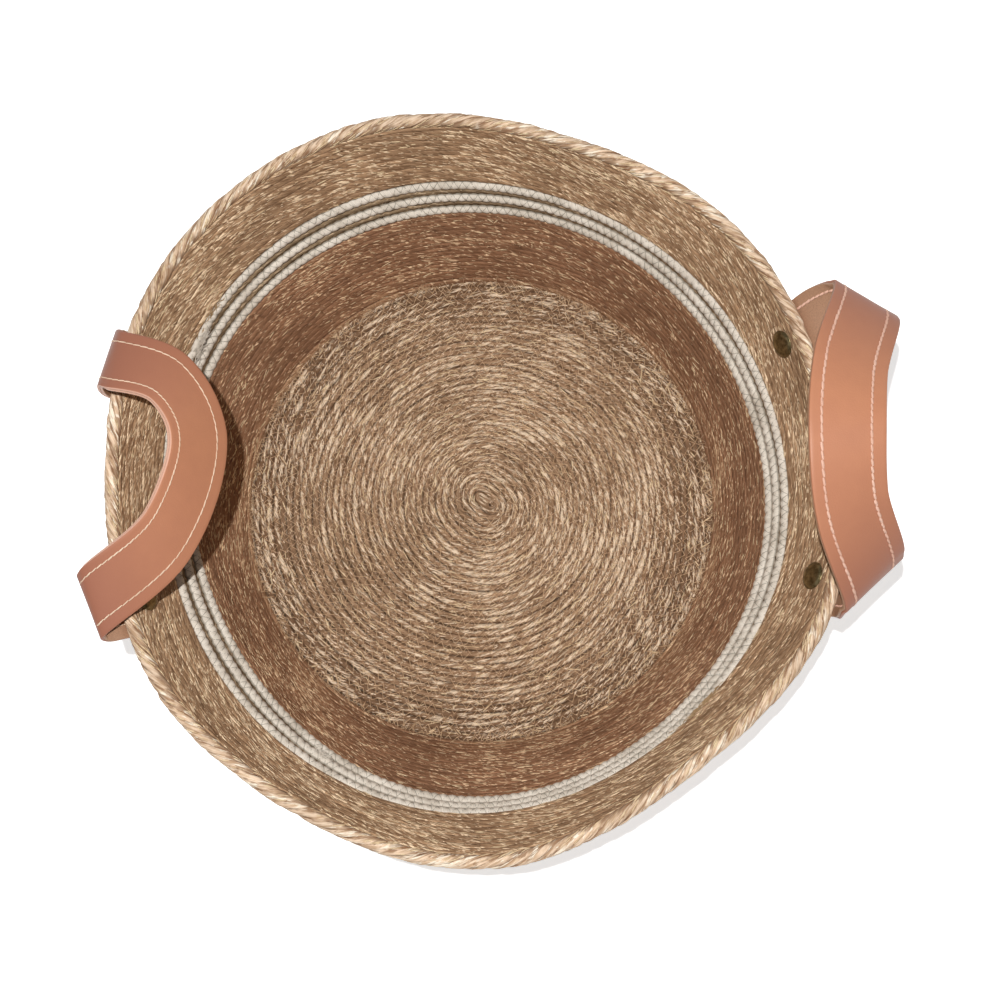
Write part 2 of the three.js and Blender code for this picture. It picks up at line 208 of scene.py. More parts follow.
# The white cord's crevice shade colour is painted shade on its sides and along its zigzag thread.
WHITE_CORD = PlainFinish(
    "White_cord", srgb(190, 178, 162), srgb(230, 220, 206), crevice_shade=srgb(112, 102, 86), crevice_shade_share=0.75
)
FLOOR_THREAD = PlainFinish("Floor_thread", srgb(184, 148, 112), srgb(214, 182, 146), bump=0.00005)
GREY_THREAD = PlainFinish("Grey_thread", srgb(126, 120, 106), srgb(168, 160, 146))
STRAP_THREADS = {
    "right": PlainFinish("Pink_thread", srgb(224, 172, 148), srgb(246, 204, 182)),
    "left": PlainFinish("Cream_thread", srgb(224, 190, 160), srgb(250, 226, 200)),
}
LOOSE_JUTE = PlainFinish("Loose_jute", srgb(138, 108, 76), srgb(186, 154, 114), 300.0, 260.0)
STRAW = PlainFinish("Loose_straw", srgb(190, 152, 112), srgb(250, 228, 188), 300.0, 260.0)
# The shade colour is painted shade towards the strap's ends; it also mottles the face at random.
LEATHER = LeatherFinish(
    "Strap_leather", srgb(192, 131, 98), srgb(152, 97, 78), srgb(224, 176, 152), srgb(162, 124, 98)
)
BRONZE = MetalFinish("Antique_bronze", srgb(104, 90, 60), srgb(176, 158, 118))


# Materials


def add_node(tree: Tree, kind: str, inputs: dict | None = None, **settings: object) -> Node:
    """Adds a node to a tree, sets it up and wires its inputs.

    Args:
        tree: the tree of a material or a node group.
        kind: the node's type name.
        inputs: socket name or index to a value or an output socket.
        settings: the node's own properties.

    Returns:
        The new node.
    """
    node = tree.nodes.new(kind)
    for key, value in settings.items():
        setattr(node, key, value)
    for key, value in (inputs or {}).items():
        if isinstance(value, Socket):
            tree.links.new(value, node.inputs[key])
        else:
            node.inputs[key].default_value = value
    return node


class Bench:
    """Builds one node material and wires it."""

    def __init__(self, name: str) -> None:
        """Starts a material with its output and main shader.

        Args:
            name: the material's name.
        """
        self.material = bpy.data.materials.new(name)
        self.material.use_nodes = True
        self.tree = self.material.node_tree
        self.tree.nodes.clear()
        self.shader = self.add("BsdfPrincipled")
        self.add("OutputMaterial", {0: self.shader.outputs[0]})

    def add(self, kind: str, inputs: dict | None = None, **settings: object) -> Node:
        """Adds a shader node, named without its ShaderNode prefix, sets it up and wires its inputs."""
        return add_node(self.tree, "ShaderNode" + kind, inputs, **settings)

    def read(self, name: str, output: str = "Fac") -> Socket:
        """Reads one of the mesh's point attributes, its Fac for a value or its Vector for three."""
        return self.add("Attribute", attribute_name=name).outputs[output]

    def place(self) -> Socket:
        """Reads a point's own place on its object."""
        return self.add("TexCoord").outputs["Object"]

    def math(self, operation: str, *values: float | Socket) -> Socket:
        """Wires a Math node to its values and returns its result."""
        return self.add("Math", dict(enumerate(values)), operation=operation).outputs[0]

    def weigh(self, first: Socket, first_share: float, second: Socket, second_share: float) -> Socket:
        """Adds two values, each by its share."""
        parts = ((first, first_share), (second, second_share))
        return self.math("ADD", *(self.math("MULTIPLY", *part) for part in parts))

    def swing(self, noise: Socket, reach: float) -> Socket:
        """Makes a noise swing about nought, by its whole reach."""
        return self.math("MULTIPLY", self.math("SUBTRACT", noise, 0.5), reach)

    def noise(self, vector: Socket, scale: tuple, detail: float = 2.0, roughness: float = 0.5) -> Socket:
        """Wires a noise over a stretched vector.

        Args:
            vector: the coordinates.
            scale: how often it changes per metre on each axis.
            detail: the noise's octaves.
            roughness: how strong the fine octaves are.

        Returns:
            The noise's value socket.
        """
        stretched = self.add("VectorMath", {0: vector, 1: scale}, operation="MULTIPLY").outputs[0]
        noise = self.add(
            "TexNoise", {"Vector": stretched, "Scale": 1.0, "Detail": detail, "Roughness": roughness}
        )
        return noise.outputs["Fac"]

    def ramp(self, value: Socket, low: float, high: float, start: float = 0.0, end: float = 1.0) -> Socket:
        """Maps a value smoothly from one range to another, clamped.

        Args:
            value: the socket to map.
            low, high: the range read.
            start, end: the range written.

        Returns:
            The mapped value socket.
        """
        node = self.add(
            "MapRange", {0: value, 1: low, 2: high, 3: start, 4: end}, interpolation_type="SMOOTHSTEP"
        )
        return node.outputs[0]

    def mix(self, factor: float | Socket, first: Colour | Socket, second: Colour | Socket) -> Socket:
        """Mixes two colours, where the factor is the share of the second."""
        first, second = (c if isinstance(c, Socket) else (*c, 1.0) for c in (first, second))
        return self.add("Mix", {0: factor, 6: first, 7: second}, data_type="RGBA").outputs[2]

    def brighten(self, level: Socket, colour: Colour | Socket) -> Socket:
        """Scales a colour's brightness by a level."""
        colour = colour if isinstance(colour, Socket) else (*colour, 1.0)
        return self.add("HueSaturation", {"Value": level, "Color": colour}).outputs[0]

    def finish(
        self, colour: Socket, height: Socket, distance: float, roughness: float, **sockets: float
    ) -> Material:
        """Wires colour and bump into the shader and sets its plain values.

        Args:
            colour: the base colour's socket.
            height: the bump's height socket.
            distance: the bump's depth in metres.
            roughness: the shader's roughness.
            sockets: other shader inputs by name, with underscores for spaces.

        Returns:
            The finished material.
        """
        bump = self.add("Bump", {"Height": height, "Distance": distance, "Strength": 1.0})
        self.tree.links.new(colour, self.shader.inputs["Base Color"])
        self.tree.links.new(bump.outputs[0], self.shader.inputs["Normal"])
        self.shader.inputs["Roughness"].default_value = roughness
        for name, value in sockets.items():
            self.shader.inputs[name.replace("_", " ")].default_value = value
        return self.material


def cord_vector(bench: Bench, twist: float) -> tuple[Socket, Socket]:
    """Reads a cord's own coordinates and winds them round its length.

    Args:
        bench: the material being built.
        twist: how far the fibres wind, in radians for each metre.

    Returns:
        The sockets of the wound and the plain vector.
    """
    plain = bench.read("cord", "Vector")
    parts = bench.add("SeparateXYZ", {0: plain})
    angle = bench.math("MULTIPLY", parts.outputs[0], twist)
    wound = bench.add("VectorRotate", {"Vector": plain, "Angle": angle}, rotation_type="X_AXIS")
    return wound.outputs[0], plain


def jute_material(finish: JuteFinish) -> Material:
    """Makes coiled plant fibre: streaks along the twist, pale slivers that are partly painted glints, dark
    specks and painted shade in the crevices.

    Args:
        finish: its tones and depth.

    Returns:
        The material.
    """
    bench = Bench(finish.name)
    wound, plain = cord_vector(bench, finish.twist)
    fibres = bench.noise(wound, finish.fine(finish.fibre_scale), 3.0, 0.6)
    strands = bench.noise(wound, finish.strand_scale)
    runs = bench.noise(plain, finish.run_scale)
    patches = bench.noise(bench.place(), finish.patch_scale)
    streaks = bench.weigh(fibres, 0.62, strands, 0.38)
    body = bench.mix(bench.ramp(streaks, 0.37, 0.62), finish.dark, finish.light)
    # The edge colour: painted shade on the rim strands' low side, a tone near the floor's rim and the wall's
    # foot, and random patches.
    edge = bench.math("ADD", bench.read("edge"), bench.swing(patches, finish.edge_noise))
    edge = bench.math("ADD", edge, bench.swing(strands, 1.6))
    body = bench.mix(bench.ramp(edge, 0.3, 0.9, 0.0, 0.75), body, finish.edge)
    tone = bench.weigh(patches, 0.45, runs, 0.55)
    body = bench.brighten(bench.ramp(tone, 0.33, 0.67, 1.0 - finish.patch, 1.0 + finish.patch), body)
    # Dark specks are the fibre's own dark bits, in the crevice shade colour.
    specks = bench.noise(wound, finish.fine(finish.speck_scale), 1.5)
    colour = bench.mix(bench.ramp(specks, 0.41, 0.35, 0.0, finish.speck_share), body, finish.crevice_shade)
    # Pale slivers: partly the fibre's own pale strands, partly painted glints of shiny fibre.
    slivers_and_glints = jute_slivers_and_glints(bench, finish, wound, fibres, runs, patches)
    colour = bench.mix(bench.math("MULTIPLY", slivers_and_glints, 0.9), colour, finish.sliver_and_glint)
    # Painted shade: a cord's sides that face its neighbours darken towards the crevice shade colour.
    shade_mask = bench.ramp(bench.read("depth"), finish.crevice_shade_from, finish.crevice_shade_to)
    broken_shade = bench.math("MULTIPLY", shade_mask, bench.ramp(fibres, 0.62, 0.38, 0.1, 1.0))
    colour = bench.mix(bench.math("MULTIPLY", broken_shade, finish.crevice_shade_share), colour, finish.crevice_shade)
    height = bench.math("ADD", streaks, bench.math("MULTIPLY", slivers_and_glints, 0.3))
    return bench.finish(colour, height, finish.bump, finish.roughness, Specular_IOR_Level=0.3)


def jute_slivers_and_glints(
    bench: Bench, finish: JuteFinish, wound: Socket, fibres: Socket, runs: Socket, patches: Socket
) -> Socket:
    """Scatters long pale slivers and small flecks along the twist, thicker in some places: partly the
    fibre's own pale strands, partly painted glints of shiny fibre.

    Args:
        bench: the material being built.
        finish: how many there are.
        wound: the cord's wound vector.
        fibres, runs, patches: the noises that break them up and gather them.

    Returns:
        The socket that is 1 on a sliver and its painted glint.
    """
    gather = bench.math("ADD", bench.swing(runs, 0.25), bench.swing(patches, 0.22))
    big = bench.math("ADD", bench.noise(wound, finish.sliver_scale, 2.5, 0.55), gather)
    big = bench.ramp(big, finish.sliver_level, finish.sliver_level + finish.sliver_blur)
    big = bench.math("MULTIPLY", big, bench.ramp(fibres, 0.36, 0.56, 0.2, 1.0))
    small = bench.math("ADD", bench.noise(wound, finish.fine(finish.fleck_scale), 1.5), gather)
    small = bench.ramp(small, finish.fleck_level, finish.fleck_level + finish.fleck_blur)
    return bench.math("MAXIMUM", big, small)


def thread_material(finish: PlainFinish) -> Material:
    """Makes thread or cotton cord.

    Args:
        finish: its tones and depth.

    Returns:
        The material.
    """
    bench = Bench(finish.name)
    wound, _ = cord_vector(bench, finish.twist)
    fibres = bench.noise(wound, finish.fibre_scale, 3.0, 0.6)
    patches = bench.noise(bench.place(), (finish.patch_scale,) * 3)
    level = bench.weigh(fibres, 0.6, patches, 0.4)
    colour = bench.mix(bench.ramp(level, 0.35, 0.62), finish.dark, finish.light)
    # Painted shade on the cord's sides and along the thread pressed into it.
    shade_mask = bench.ramp(bench.read("depth"), 0.88, 1.0, 0.0, finish.crevice_shade_share)
    colour = bench.mix(shade_mask, colour, finish.crevice_shade)
    return bench.finish(colour, fibres, finish.bump, finish.roughness, Specular_IOR_Level=0.3)


def leather_material(finish: LeatherFinish) -> Material:
    """Makes strap leather that is smooth on its face, pale on its cut edges and suede behind, with painted
    shade towards its ends.

    Args:
        finish: its tones and roughness.

    Returns:
        The material.
    """
    bench = Bench(finish.name)
    strap = bench.read("strap", "Vector")
    parts = bench.add("SeparateXYZ", {0: strap})
    place = bench.place()
    clouds = bench.noise(place, finish.cloud_scale)
    mottle = bench.noise(strap, finish.mottle_scale, 3.0, 0.6)
    tone = bench.weigh(clouds, 0.7, mottle, 0.3)
    face = bench.mix(bench.ramp(tone, 0.3, 0.75, 0.0, 0.3), finish.face, finish.shade)
    # Painted shade: the face darkens towards the shade colour near the strap's ends.
    face = bench.mix(bench.ramp(bench.read("end"), 0.12, 0.72, 0.0, 0.9), face, finish.shade)
    nap = bench.noise(place, finish.nap_scale, 2.0, 0.7)
    back = bench.brighten(bench.ramp(nap, 0.3, 0.7, 0.85, 1.12), finish.back)
    colour = bench.mix(bench.math("LESS_THAN", parts.outputs[2], 0.0), face, back)
    cut = bench.ramp(parts.outputs[1], finish.edge_from, finish.edge_to)
    colour = bench.mix(bench.math("MULTIPLY", cut, 0.85), colour, finish.edge)
    pores = bench.add("TexVoronoi", {"Vector": place, "Scale": finish.pore_scale}).outputs["Distance"]
    creases = bench.noise(strap, finish.crease_scale, 3.0, 0.6)
    height = bench.weigh(pores, 0.35, creases, 0.5)
    return bench.finish(colour, height, finish.bump, finish.roughness, Specular_IOR_Level=0.4)


def metal_material(finish: MetalFinish) -> Material:
    """Makes dark antique metal.

    Args:
        finish: its tones and roughness.

    Returns:
        The material.
    """
    bench = Bench(finish.name)
    cloud = bench.noise(bench.place(), finish.cloud_scale, 4.0, 0.6)
    colour = bench.mix(bench.ramp(cloud, 0.3, 0.8), finish.dark, finish.light)
    return bench.finish(colour, cloud, finish.bump, finish.roughness, Metallic=finish.metallic)


# Meshes


def mesh_object(
    name: str, points: np.ndarray, faces: list, material: Material | None, **attributes: np.ndarray
) -> Piece:
    """Makes a smooth mesh object at the origin.

    Args:
        name: its name.
        points: its corners in millimetres.
        faces: its faces as corner numbers.
        material: the material it wears, or none.
        attributes: point attributes by name, with one or three values a corner.

    Returns:
        The object.
    """
    name = name.replace(" ", "_")
    mesh = bpy.data.meshes.new(name)
    mesh.from_pydata((points * MM).tolist(), [], faces)
    if faces:
        mesh.polygons.foreach_set("use_smooth", [True] * len(mesh.polygons))
    for key, values in attributes.items():
        vector = np.ndim(values) == 2
        attribute = mesh.attributes.new(key, "FLOAT_VECTOR" if vector else "FLOAT", "POINT")
        attribute.data.foreach_set("vector" if vector else "value", np.ravel(values).astype(np.float32))
    if material is not None:
        mesh.materials.append(material)
    mesh.update()
    made = bpy.data.objects.new(name, mesh)
    bpy.context.scene.collection.objects.link(made)
    return made


def unit(vectors: np.ndarray) -> np.ndarray:
    """Scales vectors to length one.

    Args:
        vectors: rows of three.

    Returns:
        The unit vectors.
    """
    return vectors / np.linalg.norm(vectors, axis=-1, keepdims=True)


@dataclass
class Mass:
    """Tubes gathered into one mesh, with each corner's own cord coordinates."""

    points: list = field(default_factory=list)
    faces: list = field(default_factory=list)
    cord: list = field(default_factory=list)
    depth: list = field(default_factory=list)
    edge: list = field(default_factory=list)
    count: int = 0
    length: float = 0.0

    def tube(
        self,
        centres: np.ndarray,
        sides: np.ndarray,
        ups: np.ndarray,
        half_side: Number,
        half_up: Number,
        corners: int,
        lumps: np.ndarray | None = None,
        start: float = 0.0,
        square: float = 2.0,
        edge: Number = 0.0,
    ) -> None:
        """Adds a tube with closed ends along a path.

        Args:
            centres: the path in millimetres.
            sides, ups: the section's two axes at each point.
            half_side, half_up: the section's half sizes, each a number or one for each point.
            corners: points round the section.
            lumps: a size factor for each point of each section.
            start: where the cord's length is counted from.
            square: 2 for a round section, more for one with flatter sides.
            edge: the share of the edge colour, 0 to 1, for each point of the path or of each section: more
                near a coil's edge, and painted shade on a rim strand's low side.
        """
        steps = len(centres)
        angle = TURN * (np.arange(corners) + 0.5) / corners
        circle = np.cos(angle), np.sin(angle)
        wide, high = (np.sign(part) * np.abs(part) ** (2 / square) for part in circle)
        across = np.broadcast_to(half_side, (steps,))[:, None] * wide
        along_up = np.broadcast_to(half_up, (steps,))[:, None] * high
        if lumps is not None:
            across, along_up = across * lumps, along_up * lumps
        points = centres[:, None, :] + across[..., None] * sides[:, None, :]
        points = points + along_up[..., None] * ups[:, None, :]
        gaps = np.linalg.norm(np.diff(centres, axis=0), axis=1)
        length = start + np.concatenate([[0.0], np.cumsum(gaps)])
        cord = np.stack([np.repeat(length, corners).reshape(steps, corners), across, along_up], -1) * MM
        # This marks a section's sides that face the neighbouring rows, where the material paints crevice
        # shade.
        depth = np.broadcast_to(np.abs(np.sin(angle)), (steps, corners))
        middle = steps // 2
        heading = centres[middle] - centres[middle - 1]
        flip = np.dot(np.cross(sides[middle], ups[middle]), heading) < 0
        first = np.arange(corners) + self.count
        rows = (np.arange(steps - 1) * corners)[:, None]
        a, b = rows + first, rows + np.roll(first, -1)
        quads = np.stack([a, b, b + corners, a + corners], -1).reshape(-1, 4)
        ends = np.stack([first[::-1], first + (steps - 1) * corners])
        if flip:
            quads, ends = quads[:, ::-1], ends[:, ::-1]
        self.faces += quads.tolist() + ends.tolist()
        self.points.append(points.reshape(-1, 3))
        self.cord.append(cord.reshape(-1, 3))
        self.depth.append(depth.reshape(-1))
        edge = np.asarray(edge, float)
        edge = edge if edge.ndim == 2 else np.broadcast_to(edge[..., None], (steps, corners))
        self.edge.append(edge.reshape(-1))
        self.count += steps * corners
        self.length = float(length[-1])

    def build(self, name: str, material: Material) -> Piece:
        """Makes the object.

        Args:
            name: its name.
            material: the material it wears.

        Returns:
            The object.
        """
        return mesh_object(
            name,
            np.concatenate(self.points),
            self.faces,
            material,
            cord=np.concatenate(self.cord),
            depth=np.concatenate(self.depth),
            edge=np.concatenate(self.edge),
        )


def waviness(rng: np.random.Generator, turns: np.ndarray, waves: int, low: int, high: int) -> np.ndarray:
    """A smooth random curve over an angle that closes on itself.

    Args:
        rng: the seeded source.
        turns: the angles.
        waves: how many waves are summed.
        low, high: the range of waves a turn.

    Returns:
        A value of about -1 to 1 for each angle.
    """
    total = np.zeros_like(turns)
    for _ in range(waves):
        total += np.cos(rng.integers(low, high) * turns + rng.uniform(0, TURN))
    return total / math.sqrt(waves)


def lumpiness(rng: np.random.Generator, steps: int, corners: int, amount: float, smooth: int) -> np.ndarray:
    """Random swelling of a cord's section that is smooth along it.

    Args:
        rng: the seeded source.
        steps, corners: the tube's points.
        amount: the size of the swelling.
        smooth: over how many steps it is evened.

    Returns:
        A factor near one for each point.
    """
    rough = rng.normal(0, 1, (steps, corners))
    kernel = np.ones(smooth) / math.sqrt(smooth)
    for j in range(corners):
        rough[:, j] = np.convolve(np.concatenate([rough[-smooth:, j], rough[:, j]]), kernel, "same")[smooth:]
    return 1 + amount * np.clip(rough, -2, 2)


def ring(*parts: np.ndarray) -> list[np.ndarray]:
    """Repeats each array's first row at its end, so that a tube's end meets its start.

    Args:
        parts: the arrays.

    Returns:
        The longer arrays.
    """
    return [np.concatenate([part, part[:1]]) for part in parts]


# Strands laid by geometry nodes


def strand_group() -> Tree:
    """Builds the node group that lays one short strand on each point of a mesh.

    Each point carries "run", the strand from end to end, and "face", the way it looks.

    Returns:
        The group.
    """
    group = bpy.data.node_groups.new("Laid strands", "GeometryNodeTree")
    sockets = group.interface
    sockets.new_socket("Geometry", in_out="OUTPUT", socket_type="NodeSocketGeometry")
    sizes = {name: "Float" for name in ("Half Width", "Half Height", "Arch", "Tip", "Unevenness")}
    for name, kind in {"Geometry": "Geometry", **sizes, "Seed": "Int", "Material": "Material"}.items():
        sockets.new_socket(name, in_out="INPUT", socket_type="NodeSocket" + kind)
    add = partial(add_node, group)
    given = add("NodeGroupInput").outputs
    line = add("GeometryNodeCurvePrimitiveLine", {"Start": (-0.5, 0, 0), "End": (0.5, 0, 0)})
    line = add("GeometryNodeResampleCurve", {"Curve": line.outputs[0], "Count": 5})
    place = add("ShaderNodeSeparateXYZ", {0: add("GeometryNodeInputPosition").outputs[0]}).outputs[0]
    off = add("ShaderNodeMath", {0: place, 1: 2.0}, operation="MULTIPLY").outputs[0]
    squared = add("ShaderNodeMath", {0: off, 1: off}, operation="MULTIPLY").outputs[0]
    bulge = add("ShaderNodeMath", {0: 1.0, 1: squared}, operation="SUBTRACT").outputs[0]
    lift = add("ShaderNodeMath", {0: bulge, 1: given["Arch"]}, operation="MULTIPLY").outputs[0]
    rise = add("ShaderNodeCombineXYZ", {2: lift}).outputs[0]
    fat = add("ShaderNodeMapRange", {0: squared, 1: 0.2, 2: 1.0, 3: 1.0, 4: given["Tip"]}).outputs[0]
    line = add("GeometryNodeSetCurveRadius", {"Curve": line.outputs[0], "Radius": fat})
    circle = add("GeometryNodeCurvePrimitiveCircle", {"Resolution": 5, "Radius": 1.0})
    strand = add("GeometryNodeCurveToMesh", {0: line.outputs[0], 1: circle.outputs[0], "Fill Caps": True})
    if "Scale" in strand.inputs:
        group.links.new(fat, strand.inputs["Scale"])
    strand = add("GeometryNodeSetPosition", {"Geometry": strand.outputs[0], "Offset": rise})
    run, face = (
        add("GeometryNodeInputNamedAttribute", {"Name": name}, data_type="FLOAT_VECTOR").outputs[0]
        for name in ("run", "face")
    )
    turn = add("FunctionNodeAlignRotationToVector", {"Vector": run}, axis="X").outputs[0]
    turn = add("FunctionNodeAlignRotationToVector", {0: turn, "Vector": face}, axis="Z", pivot_axis="X")
    length = add("ShaderNodeVectorMath", {0: run}, operation="LENGTH").outputs["Value"]
    least = add("ShaderNodeMath", {0: 1.0, 1: given["Unevenness"]}, operation="SUBTRACT").outputs[0]
    chance = add("FunctionNodeRandomValue", {2: least, 3: 1.0, "Seed": given["Seed"]}, data_type="FLOAT")
    wide, high = (
        add("ShaderNodeMath", {0: given[half], 1: chance.outputs[1]}, operation="MULTIPLY").outputs[0]
        for half in ("Half Width", "Half Height")
    )
    laid = add(
        "GeometryNodeInstanceOnPoints",
        {
            "Points": given["Geometry"],
            "Instance": strand.outputs[0],
            "Rotation": turn.outputs[0],
            "Scale": add("ShaderNodeCombineXYZ", {0: length, 1: wide, 2: high}).outputs[0],
        },
    )
    real = add("GeometryNodeRealizeInstances", {0: laid.outputs[0]})
    smooth = add("GeometryNodeSetShadeSmooth", {0: real.outputs[0]})
    worn = add("GeometryNodeSetMaterial", {"Geometry": smooth.outputs[0], "Material": given["Material"]})
    group.links.new(worn.outputs[0], add("NodeGroupOutput").inputs[0])
    return group


@dataclass
class Strands:
    """Short strands of one kind, laid by the node group: stitches, threads or loose fibres.

    The arch is the rise of a strand's middle and the tip the width of its ends, in shares of its own half
    height and half width.
    """

    name: str
    half_width: float
    half_height: float
    arch: float = 0.0
    tip: float = 0.6
    unevenness: float = 0.2
    seed: int = SEED

    def lay(self, starts: np.ndarray, ends: np.ndarray, faces: np.ndarray, material: Material) -> Piece:
        """Lays a strand from each start to its end.

        Args:
            starts, ends: the strands' ends in millimetres.
            faces: the way each looks.
            material: what they are made of.

        Returns:
            The plain mesh object of all the strands.
        """
        points = mesh_object(
            self.name + " points", (starts + ends) / 2, [], None, run=(ends - starts) * MM, face=faces
        )
        group = bpy.data.node_groups.get("Laid strands") or strand_group()
        modifier = points.modifiers.new("Strands", "NODES")
        modifier.node_group = group
        values = {
            "Half Width": self.half_width * MM,
            "Half Height": self.half_height * MM,
            "Arch": self.arch,
            "Tip": self.tip,
            "Unevenness": self.unevenness,
            "Seed": self.seed,
            "Material": material,
        }
        for item in group.interface.items_tree:
            if item.in_out == "INPUT" and item.name in values:
                modifier[item.identifier] = values[item.name]
        ready = points.evaluated_get(bpy.context.evaluated_depsgraph_get())
        mesh = bpy.data.meshes.new_from_object(ready)
        mesh.name = self.name.replace(" ", "_")
        points.modifiers.remove(modifier)
        bpy.data.objects.remove(points)
        made = bpy.data.objects.new(mesh.name, mesh)
        bpy.context.scene.collection.objects.link(made)
        corners = np.zeros(len(mesh.vertices) * 3, np.float32)
        mesh.vertices.foreach_get("co", corners)
        attribute = mesh.attributes.new("cord", "FLOAT_VECTOR", "POINT")
        attribute.data.foreach_set("vector", corners)
        return made


# Tying a piece to the frame


def dress(made: Piece, body: str, slot: str, *nodes: str) -> None:
    """Ties a piece to the frame.

    Args:
        made: the piece.
        body: the body that it rides on.
        slot: the record's material slot; not used.
        nodes: the frame's nodes that it stands for.
    """
    if nodes:
        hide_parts(*nodes)
    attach(made, body)
    log.info("%s rides on the %s", made.name, body)


# The basket


@dataclass(frozen=True)
class Shell:
    """The basket's uneven round, as the frame's wall has it, in millimetres.

    A lobe is its waves a turn, its swell, its direction in degrees and how it fades downwards. A bulge is
    the share of the height that it is at, its spread, its waves a turn, its swell and its direction.
    """

    floor_radius: float = 141.5
    floor_thickness: float = 4.5
    wall_thickness: float = 4.5
    flare: float = 0.33
    row_height: float = 3.8
    seam: float = 0.3
    lower_rows: int = 17
    upper_rows: int = 10
    white_diameter: float = 5.9
    thin_diameter: float = 3.7
    rim_height: float = 138.3
    rim_diameter: float = 7.4
    rim_overhang: float = 0.9
    lobes: tuple = ((2, 3.0, -57, 0.8), (3, 2.8, 5, 1), (5, 1.7, -17, 4), (6, 1.8, -23, 4))
    bulges: tuple = (
        (0.52, 0.17, 1, 1.17, -54),
        (0.52, 0.17, 2, 1.68, -67),
        (0.52, 0.17, 3, 1.52, 40),
        (0.52, 0.17, 4, 0.96, -14),
        (0.66, 0.11, 0, -1.05, 0),
        (0.66, 0.11, 1, -1.13, 0),
    )

    def swelling(self, angle: Number, height: Number) -> Number:
        """How far the round swells.

        Args:
            angle: the direction in radians.
            height: the height over the floor's underside.

        Returns:
            The millimetres added to the radius.
        """
        share = np.maximum(height, 0) / self.rim_height
        total = 0
        for waves, swell, at, fade in self.lobes:
            total = total + swell * share**fade * np.cos(waves * (angle - math.radians(at)))
        for centre, spread, waves, swell, at in self.bulges:
            weight = np.exp(-(((share - centre) / spread) ** 2))
            total = total + swell * weight * np.cos(waves * (angle - math.radians(at)))
        return total

    def radius(self, height: Number) -> Number:
        """The wall's inner radius at a height over the floor's underside, before swelling."""
        return self.floor_radius + self.flare * np.maximum(height - self.floor_thickness, 0)

    def point(self, angle: Number, height: Number, beyond: Number) -> np.ndarray:
        """A point of the shell.

        Args:
            angle: the direction in radians.
            height: the height over the floor's underside.
            beyond: how far outside the wall's inner face it lies.

        Returns:
            The point, or a row for each angle.
        """
        angle, height, beyond = np.broadcast_arrays(
            np.asarray(angle, float), np.asarray(height, float), np.asarray(beyond, float)
        )
        radius = self.radius(height) + beyond + self.swelling(angle, height)
        return np.stack([radius * np.cos(angle), radius * np.sin(angle), height], -1)

    def normal(self, angle: Number, height: Number) -> np.ndarray:
        """The way the wall's outer face looks.

        Args:
            angle: the direction in radians.
            height: the height over the floor's underside.

        Returns:
            The unit normal, or a row for each angle.
        """
        step, thick = 0.01, self.wall_thickness
        around = self.point(angle + step, height, thick) - self.point(angle - step, height, thick)
        upward = self.point(angle, height + 1, thick) - self.point(angle, height - 1, thick)
        return unit(np.cross(around, upward))

    def axes(self, angle: Number, height: Number) -> tuple[np.ndarray, np.ndarray]:
        """The wall's outward and upward directions.

        Args:
            angle: the directions in radians.
            height: the height over the floor's underside.

        Returns:
            The outward and the upward unit vectors.
        """
        outward = self.normal(angle, height)
        upward = self.point(angle, height + 1, 0) - self.point(angle, height - 1, 0)
        return outward, unit(upward)

    @property
    def rim_off(self) -> float:
        """How far outside the wall's inner face the rim's middle lies."""
        return self.wall_thickness / 2 + self.rim_overhang

    @property
    def lower_top(self) -> float:
        """Height of the lower wall's upper edge."""
        return self.floor_thickness + self.seam + self.lower_rows * self.row_height

    @property
    def band_rows(self) -> list[tuple[float, float]]:
        """The band's five rows from below.

        Returns:
            The height and the diameter of each.
        """
        rows, bottom = [], self.lower_top + self.seam
        for diameter in (self.white_diameter, self.thin_diameter) * 2 + (self.white_diameter,):
            rows.append((bottom + diameter / 2, diameter))
            bottom += diameter + self.seam
        return rows

    @property
    def upper_bottom(self) -> float:
        """Height of the upper wall's lower edge."""
        height, diameter = self.band_rows[-1]
        return height + diameter / 2 + self.seam


SHELL = Shell()


class Face(Enum):
    """The two faces of the wall, by the way that each looks."""

    INSIDE = -1
    OUTSIDE = 1


